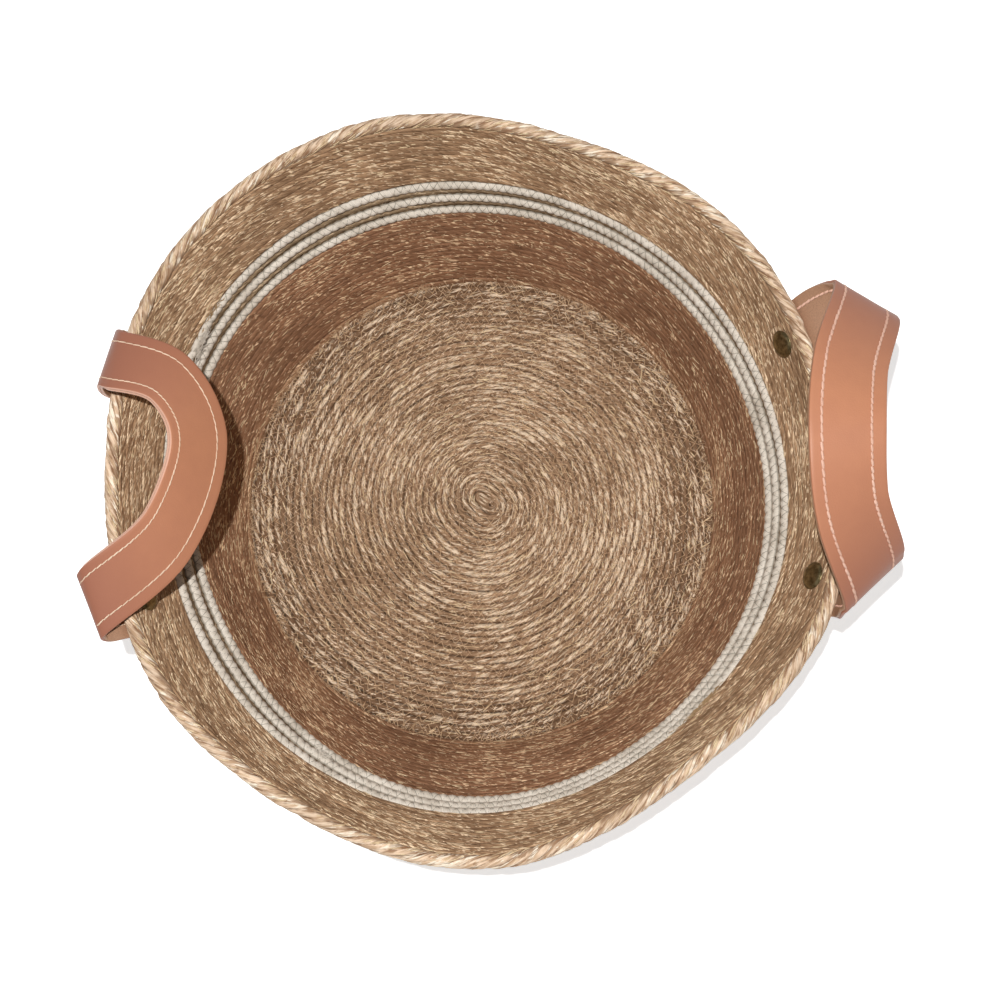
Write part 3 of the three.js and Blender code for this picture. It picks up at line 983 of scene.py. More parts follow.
@dataclass
class Floor:
    """The flat floor: one cord coiled in a spiral and sewn with zigzag thread, in millimetres.

    The spiral's core is a short fold of the cord, closed by a plug. A backing in the coil closes its seams.
    """

    pitch: float = 4.0
    cord_height: float = 4.1
    cord_share: float = 0.54
    below_top: float = 0.1
    last_radius: float = 143.8
    step: float = 2.4
    corners: int = 10
    uneven: float = 0.05
    wander: float = 0.11
    wander_over: int = 9
    edge_tone_from: float = 92.0
    edge_tone_over: float = 50.0
    fold: float = 4.5
    fold_at: float = -45.0
    fold_fade: float = 70.0
    fold_sharpness: float = 2.5
    drift: tuple = (3.6, 3.2)
    plug_shape: tuple = (0.2, 0.75, 1.0, 1.0, 1.0, 0.75, 0.2)
    plug_half: tuple = (8.0, 1.8, 5.0)
    plug_sink: float = 0.3
    backing_step: float = 6.0
    backing_half: float = 0.4
    backing_share: float = 0.8
    backing_sink: float = 0.9
    stitch: float = 2.75
    stitch_jitter: float = 0.3
    stitch_reach: float = 1.95
    stitch_share: tuple = (0.65, 1.15)
    stitch_missing: float = 0.12
    first_stitch: float = 6.0
    thread: float = 0.23
    thread_lift: float = 0.12
    thread_under: float = 0.3
    fringe_count: int = 420
    fringe_reach: float = 5.5
    fringe_slant: float = 0.022
    fibre_count: int = 1300
    fibre_off: float = 1.6
    fibre_half: tuple = (1.3, 3.8)
    fibre_slant: float = 0.5
    fibre_edge_slant: float = 1.8

    def spiral(self, turns: np.ndarray, off: Number, height: Number) -> np.ndarray:
        """Points beside the spiral.

        Args:
            turns: the angles run through since the core, in radians.
            off: how far outside the cord's middle.
            height: their height.

        Returns:
            The points.
        """
        base = np.minimum(self.pitch * turns / TURN, self.last_radius)
        start = math.radians(self.fold_at)
        reach = self.fold * np.clip(1 - base / self.fold_fade, 0, 1)
        reach = reach * np.tanh(self.fold_sharpness * np.cos(turns))
        fade = np.clip(1 - base / self.last_radius, 0, 1)
        x = (base + off) * np.cos(turns + start) + reach * math.cos(start) + self.drift[0] * fade
        y = (base + off) * np.sin(turns + start) + reach * math.sin(start) + self.drift[1] * fade
        return np.stack([x, y, np.broadcast_to(height, x.shape)], -1)

    def turns(self, step: float, first: float, extra: float) -> np.ndarray:
        """Angles along the spiral that are evenly spaced on the cord.

        Args:
            step: their distance.
            first: the first angle.
            extra: how far the cord runs on at its last radius, in radians.

        Returns:
            The angles.
        """
        small = 0.02
        fine = np.arange(first, 2 * math.pi * self.last_radius / self.pitch + extra, small)
        base = np.minimum(self.pitch * fine / TURN, self.last_radius)
        run = np.cumsum((base + self.fold * 0.3) * small)
        return np.interp(np.arange(run[0], run[-1], step), run, fine)

    def coil(self, rng: np.random.Generator, jute: Material) -> Piece:
        """Makes the coil with its plug and its backing.

        Args:
            rng: the seeded source.
            jute: its material.

        Returns:
            The object.
        """
        coil = Mass()
        middle = SHELL.floor_thickness - self.cord_height / 2 - self.below_top
        path = self.spiral(self.turns(self.step, 0.0, 2 * math.pi), 0, middle)
        centre = np.array([[*self.drift, middle]])
        path = np.concatenate([2 * centre - path[:1], centre, path])
        ups = np.tile([0.0, 0.0, 1.0], (len(path), 1))
        sides = np.cross(unit(np.gradient(path, axis=0)), ups)
        path += ups * rng.normal(0, self.uneven, (len(path), 1))
        rough = rng.normal(0, 1, len(path) + self.wander_over - 1)
        wander = np.convolve(rough, np.ones(self.wander_over) / math.sqrt(self.wander_over), "valid")
        path += sides * (wander * self.wander)[:, None]
        lumps = lumpiness(rng, len(path), self.corners, self.uneven, 3)
        # The coil takes more of its darker edge colour towards its rim.
        edge_tone = (np.linalg.norm(path[:, :2], axis=1) - self.edge_tone_from) / self.edge_tone_over
        high, wide = self.cord_height / 2, self.pitch * self.cord_share
        coil.tube(path, ups, sides, high, wide, self.corners, lumps, edge=np.clip(edge_tone, 0, 1))
        start = math.radians(self.fold_at)
        along = np.array([math.cos(start), math.sin(start), 0.0])
        length, high, wide = self.plug_half
        count = len(self.plug_shape)
        plug = np.linspace(-length, length, count)[:, None] * along + [*self.drift, middle - self.plug_sink]
        beside = np.tile(np.cross(along, ups[0]), (count, 1))
        shape = np.array(self.plug_shape)
        coil.tube(plug, ups[:count], beside, high * shape, wide * shape, self.corners)
        # The backing takes the painted crevice shade, so the seams show dark.
        backing = self.spiral(self.turns(self.backing_step, 0.0, 0.0), 0, middle - self.backing_sink)
        ups = np.tile([0.0, 0.0, 1.0], (len(backing), 1))
        sides = np.cross(unit(np.gradient(backing, axis=0)), ups)
        coil.tube(backing, ups, sides, self.backing_half, self.pitch * self.backing_share, 4)
        return coil.build("Floor coil", jute)

    def threads(self, rng: np.random.Generator, thread: Material) -> list[Piece]:
        """Sews the coil with zigzag thread on both faces.

        Args:
            rng: the seeded source.
            thread: its material.

        Returns:
            The thread on the top and the thread underneath.
        """
        made = []
        top = SHELL.floor_thickness + self.thread_lift
        for name, height, look in (("top", top, 1.0), ("under", self.thread_under, -1.0)):
            marks = self.turns(self.stitch, self.first_stitch, 0.0)
            marks = marks + rng.normal(0, self.stitch_jitter, len(marks)) / (self.pitch * marks / TURN + 1)
            reach = self.stitch_reach * np.where(np.arange(len(marks)) % 2, 1, -1)
            reach = reach * rng.uniform(*self.stitch_share, len(marks))
            spots = self.spiral(marks, self.pitch / 2 + reach, height)
            faces = np.tile([0.0, 0.0, look], (len(marks) - 1, 1))
            seen = rng.uniform(0, 1, len(marks) - 1) > self.stitch_missing
            strands = Strands(f"Floor thread {name}", self.thread, self.thread, arch=0.2, tip=0.8)
            made.append(strands.lay(spots[:-1][seen], spots[1:][seen], faces[seen], thread))
        return made

    def fringe(self, thread: Material) -> Piece:
        """Lays loose thread over the corner between the floor and the wall.

        Args:
            thread: its material.

        Returns:
            The object.
        """
        rng = np.random.default_rng(SEED + 33)
        count = self.fringe_count
        turns = rng.uniform(0, TURN, count)
        level = np.full(count, SHELL.floor_thickness + 0.3)
        starts = SHELL.point(turns, level, -rng.uniform(0.5, self.fringe_reach, count))
        level = SHELL.floor_thickness + rng.uniform(0.6, self.fringe_reach, count) ** 1.1
        ends = SHELL.point(turns + rng.normal(0, self.fringe_slant, count), level, -0.3)
        faces = SHELL.normal(turns, level) * -1.0 + [0.0, 0.0, 0.8]
        strands = Strands("Floor fringe", 0.24, 0.18, arch=0.6, tip=0.5, unevenness=0.4)
        return strands.lay(starts, ends, unit(faces), thread)

    def fibres(self, straw: Material) -> Piece:
        """Lays loose pale fibres along the coil, more aslant towards its edge.

        Args:
            straw: their material.

        Returns:
            The object.
        """
        rng = np.random.default_rng(SEED + 31)
        count = self.fibre_count
        last = 2 * math.pi * self.last_radius / self.pitch
        turns = last * np.sqrt(rng.uniform(0.001, 1, count))
        off = rng.uniform(-self.fibre_off, self.fibre_off, count)
        half = rng.uniform(*self.fibre_half, count) / (self.pitch * turns / TURN + 2)
        slant = rng.normal(0, self.fibre_slant, count) * (1 + self.fibre_edge_slant * (turns / last) ** 5)
        height = SHELL.floor_thickness + 0.02 - 0.12 * off**2
        starts = self.spiral(turns - half, off - slant, height)
        ends = self.spiral(turns + half, off + slant, height)
        faces = np.tile([0.0, 0.0, 1.0], (count, 1))
        strands = Strands("Floor fibres", 0.42, 0.2, arch=0.4, tip=0.35, unevenness=0.6)
        return strands.lay(starts, ends, faces, straw)

    def make(self, straw: Material) -> None:
        """Builds the floor's pieces and ties them to the frame.

        Args:
            straw: the loose fibres' material.
        """
        rng = np.random.default_rng(SEED)
        thread = thread_material(FLOOR_THREAD)
        dress(self.coil(rng, jute_material(FLOOR_JUTE)), "basket", "floor_jute", "floor_coil")
        for piece in (*self.threads(rng, thread), self.fringe(thread), self.fibres(straw)):
            dress(piece, "basket", "floor_jute")


def back_strip(mass: Mass, height: float, reach: float) -> None:
    """Closes the seam between two rows with a thin strip inside the wall.

    Args:
        mass: the rows' mesh in the making.
        height: the seam's height.
        reach: how far the strip goes up and down, times the root of two.
    """
    turns = np.linspace(0, TURN, 91)
    outward, upward = SHELL.axes(turns, height)
    path = SHELL.point(turns, height, SHELL.wall_thickness / 2)
    mass.tube(path, outward, upward, 0.4, reach, 4)


@dataclass
class CoiledWall:
    """Some rows of jute cord, sewn one on another, with loose pale fibres on both faces, in millimetres.

    The lip is a thin cord under the rim rope, and the drop sinks the lowest row into the floor's edge.
    """

    name: str
    slot: str
    bottom: float
    rows: int
    seed: int
    inner_fibres: int
    outer_fibres: int
    drop: float = 0.0
    lip: float = 0.0
    lean: tuple = (0.3, 0.4)
    step: float = 2.6
    overlap: float = 0.32
    edge_overlap: float = 0.05
    corners: int = 14
    square: float = 6.0
    uneven: float = 0.03
    sway_out: float = 0.05
    sway_up: float = 0.18
    edge_sway_up: float = 0.05
    seam_share: float = 0.9
    edge_tone_to: float = 26.0
    edge_tone_over: float = 22.0
    edge_tone_share: float = 0.6
    row_gap: float = 40.0
    homes: int = 130
    home_rows: float = 1.1
    home_turn: float = 0.06
    gathered: float = 0.6
    scatter: float = 12.0
    fibre_rise: float = 0.9
    fibre_half: tuple = (1.1, 3.6)

    def lay_row(self, wall: Mass, rng: np.random.Generator, row: int, start: float) -> np.ndarray:
        """Adds one row of cord.

        Args:
            wall: the mesh in the making.
            rng: the seeded source.
            row: which row it is, from below.
            start: where the cord's length is counted from.

        Returns:
            The angles of its points.
        """
        thick = SHELL.wall_thickness
        height = self.bottom + (row + 0.5) * SHELL.row_height - (self.drop if row == 0 else 0.0)
        count = int(TURN * SHELL.radius(height) / self.step)
        turns = np.linspace(0, TURN, count, endpoint=False) + rng.uniform(0, TURN)
        outward, upward = SHELL.axes(turns, height)
        path = SHELL.point(turns, height, thick / 2)
        path += outward * (waviness(rng, turns, 6, 3, 40) * self.sway_out)[:, None]
        inside = 0 < row < self.rows - 1
        sway = self.sway_up if inside else self.edge_sway_up
        path += upward * (waviness(rng, turns, 6, 2, 30) * sway)[:, None]
        lumps = lumpiness(rng, count, self.corners, self.uneven, 3)
        half_up = SHELL.row_height / 2 + (self.overlap if inside else self.edge_overlap)
        # The rows near the floor take more of the edge colour.
        edge_tone = np.clip((self.edge_tone_to - height) / self.edge_tone_over, 0, 1) * self.edge_tone_share
        path, outward, upward, lumps = ring(path, outward, upward, lumps)
        wall.tube(
            path, outward, upward, thick / 2 - 0.1, half_up, self.corners, lumps, start, self.square, edge_tone
        )
        return turns

    def lay_lip(self, wall: Mass, rng: np.random.Generator, turns: np.ndarray, start: float) -> None:
        """Adds the thin cord on the top row.

        Args:
            wall: the mesh in the making.
            rng: the seeded source.
            turns: the angles of its points.
            start: where the cord's length is counted from.
        """
        corners = 8
        height = self.bottom + self.rows * SHELL.row_height + self.lip * 0.85
        outward, upward = SHELL.axes(turns, height)
        path = SHELL.point(turns, height, self.lip * 0.75)
        lumps = lumpiness(rng, len(turns), corners, 0.08, 3)
        path, outward, upward, lumps = ring(path, outward, upward, lumps)
        wall.tube(path, outward, upward, self.lip, self.lip, corners, lumps, start)

    def build(self, jute: Material) -> Piece:
        """Makes the rows, the strips behind their seams and the lip.

        Args:
            jute: their material.

        Returns:
            The object.
        """
        rng = np.random.default_rng(self.seed)
        wall = Mass()
        start = 0.0
        for row in range(self.rows):
            turns = self.lay_row(wall, rng, row, start)
            start = wall.length + self.row_gap
        for seam in range(0 if self.lip else 1, self.rows if self.lip else self.rows + 1):
            back_strip(wall, self.bottom + seam * SHELL.row_height, SHELL.row_height * self.seam_share)
        if self.lip:
            self.lay_lip(wall, rng, turns, start)
        return wall.build(self.name, jute)

    def fibres(self, straw: Material) -> Piece:
        """Lays loose pale fibres on the rows, most of them gathered about their homes.

        Args:
            straw: their material.

        Returns:
            The object.
        """
        rng = np.random.default_rng(self.seed + 40)
        count = self.inner_fibres + self.outer_fibres
        look = np.where(np.arange(count) < self.inner_fibres, -1.0, 1.0)
        home = rng.integers(0, self.homes, count)
        spread = np.where(rng.uniform(0, 1, count) < self.gathered, 1.0, self.scatter)
        rows = rng.uniform(0, self.rows, self.homes)[home] + rng.normal(0, self.home_rows, count) * spread
        rows = np.clip(np.floor(np.mod(rows, self.rows)), 0, self.rows - 1)
        rise = rng.uniform(-self.fibre_rise, self.fibre_rise, count)
        height = self.bottom + (rows + 0.5) * SHELL.row_height + rise
        turns = rng.uniform(0, TURN, self.homes)[home] + rng.normal(0, self.home_turn, count) * spread
        half = rng.uniform(*self.fibre_half, count) / SHELL.radius(height)
        slant = rng.normal(*self.lean, count)
        beyond = SHELL.wall_thickness / 2 * (1 + look) - look * (0.1 + 0.10 * rise**2)
        starts = SHELL.point(turns - half, height - slant, beyond)
        ends = SHELL.point(turns + half, height + slant, beyond)
        faces = SHELL.normal(turns, height) * look[:, None]
        strands = Strands(f"{self.name} fibres", 0.5, 0.2, arch=0.4, tip=0.4, unevenness=0.6, seed=self.seed)
        return strands.lay(starts, ends, faces, straw)

    def make(self, jute: Material, straw: Material) -> None:
        """Builds the wall's rows and loose fibres and ties them to the frame."""
        dress(self.build(jute), "basket", self.slot, self.name.lower().replace(" ", "_"))
        dress(self.fibres(straw), "basket", self.slot)


@dataclass(frozen=True)
class Fray:
    """A bunch of loose fibres on the band: its direction and spread in degrees, its row, and how many."""

    at: float
    spread: float
    row: int
    above: float
    count: int


@dataclass
class CordBand:
    """Three rows of white cord with thin jute rows between them, and their zigzag thread, in millimetres.

    The white rows close over the thin rows all round but for open_width degrees about open_at.
    """

    corners: tuple = (16, 8)
    counts: tuple = (1280, 420)
    uneven: tuple = (0.010, 0.03)
    sway: float = 0.12
    stand_off: float = 0.4
    stitch: float = 2.33
    stitch_jitter: float = 0.10
    thread: float = 0.18
    thread_arch: float = 5.9
    dent: float = 0.17
    dent_width: float = 0.75
    dent_shade: float = 0.92
    low_climb: float = -14.0
    high_climb: float = 80.0
    climb_jitter: float = 5.0
    swell: float = 0.4
    swell_outer: float = 0.6
    spread_out: float = 0.4
    narrow: float = 0.5
    narrow_top: float = 0.4
    sink: float = 0.9
    open_at: float = 108.0
    open_width: float = 42.0
    fray_rise: float = 1.4
    fray_least: float = 0.4
    frays: tuple = (
        Fray(151.0, 1.6, 4, 0.0, 90),
        Fray(153.5, 1.2, 4, -2.5, 40),
        Fray(241.0, 1.3, 2, 0.0, 60),
    )
    crossings: tuple = (Fray(316.0, 4.5, 4, 2.9, 150), Fray(146.0, 4.0, 4, 2.9, 50))
    names: tuple = ("White lower", "Thin lower", "White middle", "Thin upper", "White upper")
    nodes: tuple = (
        "white_cord_lower",
        "natural_cord_lower",
        "white_cord_middle",
        "natural_cord_upper",
        "white_cord_upper",
    )

    def closed(self, turns: np.ndarray) -> np.ndarray:
        """How far the white rows close over the thin rows.

        Args:
            turns: the angles.

        Returns:
            0 where the thin rows show, 1 where they are hidden.
        """
        away = np.abs((np.degrees(turns) - self.open_at + 180) % 360 - 180)
        share = np.clip((away - self.open_width * 0.7) / (self.open_width * 0.6), 0, 1)
        return share * share * (3 - 2 * share)

    def tall(self, turns: np.ndarray, number: int) -> np.ndarray:
        """Half the height of a white row, which spreads where the thin rows are hidden.

        Args:
            turns: the angles.
            number: which row it is.

        Returns:
            The half height at each angle.
        """
        hidden = self.closed(turns)
        spread = hidden * self.swell * (self.swell_outer if number in (0, 4) else 1.0)
        narrowing = (1 - hidden) * self.narrow * (self.narrow_top if number == 4 else 1.0)
        return SHELL.white_diameter / 2 + 0.1 + spread - narrowing

    def parting(self, turns: np.ndarray, number: int) -> np.ndarray:
        """How far down a white row moves at each angle as the rows spread, as a column."""
        return (self.closed(turns) * self.swell * self.spread_out * (number - 2) / 2)[:, None]

    def marks(self, rng: np.random.Generator, height: float) -> tuple[np.ndarray, np.ndarray]:
        """Where the zigzag thread turns round on one row.

        Args:
            rng: the seeded source.
            height: the row's middle.

        Returns:
            The angles round the basket and the angles round the cord.
        """
        around = TURN * SHELL.radius(height)
        count = 2 * int(around / (2 * self.stitch))
        turns = np.linspace(0, TURN, count + 1)
        turns[1:-1] += rng.normal(0, self.stitch_jitter * self.stitch / SHELL.radius(height), count - 1)
        climb = np.where(np.arange(count + 1) % 2, self.high_climb, self.low_climb)
        climb = climb + rng.normal(0, self.climb_jitter, count + 1)
        climb[-1] = climb[0]
        return turns, np.radians(climb)

    def dents(
        self, turns: np.ndarray, at: np.ndarray, climb: np.ndarray, face: Face
    ) -> tuple[np.ndarray, np.ndarray]:
        """How the thread presses into the cord and paints shade along its path.

        Args:
            turns: the angles of the cord's path.
            at, climb: the thread's turning points.
            face: the wall's face that the thread is on.

        Returns:
            The painted shade along the thread at each point of each section, and the factor of its size.
        """
        corners = self.corners[0]
        angle = TURN * (np.arange(corners) + 0.5) / corners
        own = np.arctan2(np.sin(angle), face.value * np.cos(angle))
        line = np.interp(turns, at, climb)
        gap = (own[None, :] - line[:, None]) * SHELL.white_diameter / 2
        middle = (self.low_climb + self.high_climb) / 2
        crowd = np.exp(-((gap / self.dent_width) ** 2))
        across = np.interp(turns, at, np.where(np.arange(len(at)) % 2, 1.0, -1.0))
        near_top = np.clip((np.degrees(own) - middle) / 40, -1, 1)
        bulge = 0.5 * self.dent * near_top[None, :] * across[:, None]
        bulge = bulge * (np.abs(own) < np.radians(95))[None, :]
        return self.dent_shade * crowd, 1 - self.dent * crowd - bulge

    def zigzag(
        self, height: float, off: float, face: Face, at: np.ndarray, climb: np.ndarray, number: int
    ) -> list[np.ndarray]:
        """Thread that runs up and down over one row.

        Args:
            height: the row's middle.
            off: its middle's place in the wall.
            face: the wall's face that it is on.
            at, climb: the thread's turning points.
            number: which row it is.

        Returns:
            The strands' starts, ends and faces.
        """
        outward, upward = SHELL.axes(at, height)
        centre = SHELL.point(at, height, off) - upward * self.parting(at, number)
        away = face.value * np.cos(climb)[:, None] * outward
        away = away * (SHELL.white_diameter / 2) + (np.sin(climb) * self.tall(at, number))[:, None] * upward
        spots = centre + away * (1 - self.dent * 0.8) + unit(away) * self.thread * 0.3
        return [spots[:-1], spots[1:], unit(away[:-1] + away[1:])]

    def build(self, white: Material, jute: Material, thread: Material) -> list[Piece]:
        """Makes the rows and the thread.

        Args:
            white, jute, thread: their materials.

        Returns:
            The five rows from below, then the thread.
        """
        rng = np.random.default_rng(SEED + 5)
        made, laid = [], []
        for number, (name, (height, diameter)) in enumerate(zip(self.names, SHELL.band_rows)):
            thin = number % 2
            count, corners = self.counts[thin], self.corners[thin]
            turns = np.linspace(0, TURN, count, endpoint=False)
            outward, upward = SHELL.axes(turns, height)
            shift = upward * (waviness(rng, turns, 5, 2, 25) * (0.0 if thin else self.sway))[:, None]
            lumps = lumpiness(rng, count, corners, self.uneven[thin], 5)
            thread_shade = np.zeros((count, corners))
            if thin:
                off = SHELL.wall_thickness / 2 + 0.3 + self.closed(turns) * self.sink
                half = np.full(count, diameter / 2 + 0.25)
            else:
                off = SHELL.wall_thickness / 2 - self.stand_off
                half = self.tall(turns, number)
                shift -= upward * self.parting(turns, number)
                for face in Face:
                    at, climb = self.marks(rng, height)
                    crowd, factor = self.dents(turns, at, climb, face)
                    thread_shade = np.maximum(thread_shade, crowd)
                    lumps *= factor
                    laid.append(self.zigzag(height, off, face, at, climb, number))
            path = SHELL.point(turns, height, off) + shift
            path, outward, upward, half, lumps, thread_shade = ring(path, outward, upward, half, lumps, thread_shade)
            row = Mass()
            row.tube(path, outward, upward, diameter / 2 - 0.05, half, corners, lumps)
            # Painted shade along the zigzag thread joins the painted crevice shade.
            row.depth[-1] = np.maximum(row.depth[-1], thread_shade.reshape(-1))
            if thin:
                back_strip(row, height, (diameter + SHELL.white_diameter) * 0.7)
            made.append(row.build(name, jute if thin else white))
        starts, ends, faces = (np.concatenate(part) for part in zip(*laid))
        strands = Strands("Band thread", self.thread, self.thread, self.thread_arch, tip=0.9, unevenness=0.3)
        made.append(strands.lay(starts, ends, faces, thread))
        return made

    def tuft(
        self,
        rng: np.random.Generator,
        name: str,
        frays: tuple,
        material: Material,
        lift: float,
        bend: float,
        reach: float,
    ) -> Piece:
        """Lays bunches of loose fibres over the inner side of the white rows.

        Args:
            rng: the seeded source.
            name: the piece's name.
            frays: the bunches.
            material: their material.
            lift: how far outside the row's inner side they lie.
            bend: how far their directions spread, in radians.
            reach: half the longest fibre.

        Returns:
            The object.
        """
        starts, ends, faces = [], [], []
        for fray in frays:
            height = SHELL.band_rows[fray.row][0] + fray.above
            turns = np.radians(fray.at + rng.normal(0, fray.spread / 1.6, fray.count))
            rise = height + rng.normal(0, self.fray_rise, fray.count)
            inner_side = SHELL.wall_thickness / 2 - self.stand_off - SHELL.white_diameter / 2
            off = inner_side - rng.uniform(-0.2, 0.6, fray.count) + lift
            way = rng.normal(0, bend, fray.count)
            half = rng.uniform(self.fray_least, 1.0, fray.count) * reach
            run = np.cos(way) * half / SHELL.radius(height)
            climb = np.sin(way) * half
            starts.append(SHELL.point(turns - run, rise - climb, off))
            ends.append(SHELL.point(turns + run, rise + climb, off))
            faces.append(-SHELL.normal(turns, rise))
        strands = Strands(name, 0.24, 0.2, arch=2.0, tip=0.4, unevenness=0.5, seed=SEED + 4)
        return strands.lay(np.concatenate(starts), np.concatenate(ends), np.concatenate(faces), material)

    def make(self, jute: Material) -> None:
        """Builds the band's pieces and ties them to the frame.

        Args:
            jute: the thin rows' material.
        """
        white = thread_material(WHITE_CORD)
        *rows, thread = self.build(white, jute, thread_material(GREY_THREAD))
        for number, (piece, node) in enumerate(zip(rows, self.nodes)):
            dress(piece, "basket", "wall_jute" if number % 2 else "white_cord", node)
        dress(thread, "basket", "white_cord")
        rng = np.random.default_rng(SEED + 17)
        loose = thread_material(LOOSE_JUTE)
        frayed = self.tuft(rng, "Frayed ends", self.frays, white, lift=0.0, bend=0.9, reach=2.6)
        crossing = self.tuft(rng, "Crossing fibres", self.crossings, loose, lift=1.4, bend=0.4, reach=3.2)
        for piece in (frayed, crossing):
            dress(piece, "basket", "white_cord")


@dataclass
class Rim:
    """The thick rim of loosely twisted straw strands round a core, in millimetres."""

    strands: int = 5
    lay: float = 48.0
    strand_radius: float = 1.92
    flatness: float = 0.86
    core_share: float = 0.58
    core_corners: int = 10
    corners: int = 7
    count: int = 760
    wander: float = 0.22
    girth_sway: float = 0.13
    size_range: tuple = (0.85, 1.15)
    size_sway: float = 0.12
    turn_jitter: float = 0.10
    turn_sway: float = 0.14
    lift_sway: float = 0.12
    shade_at: float = 35.0
    core_gap: float = 50.0
    strand_gap: float = 70.0
    fibre_count: int = 700
    fibre_climb: tuple = (95.0, 235.0)
    fibre_half: tuple = (1.5, 3.6)
    fibre_lean: tuple = (0.6, 1.2)

    def build(self, straw: Material) -> Piece:
        """Makes the rope.

        Args:
            straw: its material.

        Returns:
            The object.
        """
        rng = np.random.default_rng(SEED + 9)
        turns = np.linspace(0, TURN, self.count, endpoint=False)
        outward, upward = SHELL.axes(turns, SHELL.rim_height)
        centre = SHELL.point(turns, SHELL.rim_height, SHELL.rim_off)
        centre += outward * (waviness(rng, turns, 6, 4, 40) * self.wander)[:, None]
        centre += upward * (waviness(rng, turns, 6, 4, 40) * self.wander * 0.5)[:, None]
        around = np.sum(np.linalg.norm(np.diff(centre, axis=0), axis=1))
        laps = round(around / self.lay)
        radius = SHELL.rim_diameter / 2 + waviness(rng, turns, 8, 6, 60) * self.girth_sway
        rope = Mass()
        lumps = lumpiness(rng, self.count, self.core_corners, 0.03, 4)
        path, sides, ups, lumps = ring(centre, outward, upward, lumps)
        core = SHELL.rim_diameter / 2 * self.core_share
        rope.tube(path, sides, ups, core, core, self.core_corners, lumps)
        start = rope.length + self.core_gap
        angles = TURN * np.arange(self.strands) / self.strands
        for first in angles + rng.normal(0, self.turn_jitter, self.strands):
            size = self.strand_radius * rng.uniform(*self.size_range)
            size = size * (1 + self.size_sway * waviness(rng, turns, 6, 8, 90))
            angle = laps * turns + first + self.turn_sway * waviness(rng, turns, 5, 6, 50)
            away = np.cos(angle)[:, None] * outward + np.sin(angle)[:, None] * upward
            # Painted shade: each strand darkens towards the rim's edge colour on its side turned down and
            # in.
            low = np.clip(-np.cos(angle - math.radians(self.shade_at)) * 1.5 - 0.15, 0, 1)
            helix = radius - size * self.flatness + self.lift_sway * waviness(rng, turns, 5, 10, 80)
            path = centre + away * helix[:, None]
            heading = unit(np.gradient(np.concatenate([path[-1:], path, path[:1]]), axis=0)[1:-1])
            beside = np.cross(heading, away)
            lumps = lumpiness(rng, self.count, self.corners, 0.06, 5)
            path, away, beside, lumps, size, low = ring(path, away, beside, lumps, size, low)
            rope.tube(path, away, beside, size * self.flatness, size, self.corners, lumps, start, 2.0, low)
            start = rope.length + self.strand_gap
        return rope.build("Rim rope", straw)

    def fibres(self, straw: Material) -> Piece:
        """Lays loose fibres along the rope's lay, some of them over its seam with the wall.

        Args:
            straw: their material.

        Returns:
            The object.
        """
        rng = np.random.default_rng(SEED + 10)
        count = self.fibre_count
        turns = rng.uniform(0, TURN, count)
        climb = np.radians(rng.uniform(*self.fibre_climb, count))
        half = rng.uniform(*self.fibre_half, count)
        lean = half * 2 * np.pi / self.lay * rng.uniform(*self.fibre_lean, count)
        ends = []
        for way in (-1, 1):
            at = turns + way * half / (SHELL.radius(SHELL.rim_height) + SHELL.wall_thickness)
            outward, upward = SHELL.axes(at, SHELL.rim_height)
            angle = climb + way * lean
            away = np.cos(angle)[:, None] * outward + np.sin(angle)[:, None] * upward
            centre = SHELL.point(at, SHELL.rim_height, SHELL.rim_off)
            ends.append((centre + away * (SHELL.rim_diameter / 2 - 0.05), away))
        (first, first_away), (last, last_away) = ends
        strands = Strands("Rim fibres", 0.4, 0.25, arch=1.6, tip=0.35, unevenness=0.6, seed=SEED + 3)
        return strands.lay(first, last, unit(first_away + last_away), straw)

    def make(self, straw: Material) -> None:
        """Builds the rim's rope and loose fibres and ties them to the frame."""
        dress(self.build(jute_material(RIM_STRAW)), "basket", "rim_straw", "rim_rope")
        dress(self.fibres(straw), "basket", "rim_straw")


# The handles


@dataclass(frozen=True)
class Station:
    """A free station of a strap: its place in rim radii, half spans and strap widths, and its way across."""

    out: float
    along: float
    rise: float
    turn: float
    tip: float
    stretch: float = 1.0


@dataclass(frozen=True)
class HandleForm:
    """Where one handle sits and how its strap runs.

    Azimuth and spread are in degrees. The blend's way and its two distances in millimetres are read, but
    nothing blends the strap.
    The seams are that far from the strap's long and short edge.
    """

    name: str
    azimuth: float
    spread: float
    first_fold: Station
    arch: tuple
    last_fold: Station
    blend_way: tuple
    blend_from: float
    blend_to: float
    seam_long: float
    seam_short: float
    thread_width: float
    thread_slant: float


RIGHT = HandleForm(
    name="right",
    azimuth=2.9,
    spread=19.5,
    first_fold=Station(1.0937, 1.173, 0.540, -36, 0),
    arch=(
        Station(0.9968, 0.539, 1.334, -24, -4),
        Station(0.9613, 0.0, 1.608, 0, -6),
        Station(0.9682, -0.535, 1.334, 19, -4),
    ),
    last_fold=Station(1.0466, -1.113, 0.540, 41, 0, 1.09),
    blend_way=(0.0, 0.0, 1.0),
    blend_from=150.0,
    blend_to=166.0,
    seam_long=5.7,
    seam_short=7.2,
    thread_width=0.8,
    thread_slant=0.2,
)
LEFT = HandleForm(
    name="left",
    azimuth=181.3,
    spread=19.3,
    first_fold=Station(1.0037, 1.058, 0.458, -76, 25),
    arch=(
        Station(0.7902, 0.490, 0.458, -57, 43),
        Station(0.7100, -0.330, 0.430, 18, 57, 1.055),
        Station(0.7892, -0.809, 0.485, 66, 36),
    ),
    last_fold=Station(0.9582, -0.999, 0.458, 83, 25),
    blend_way=(0.6, 0.0, 0.8),
    blend_from=5.0,
    blend_to=18.0,
    seam_long=7.2,
    seam_short=5.2,
    thread_width=0.46,
    thread_slant=0.17,
)


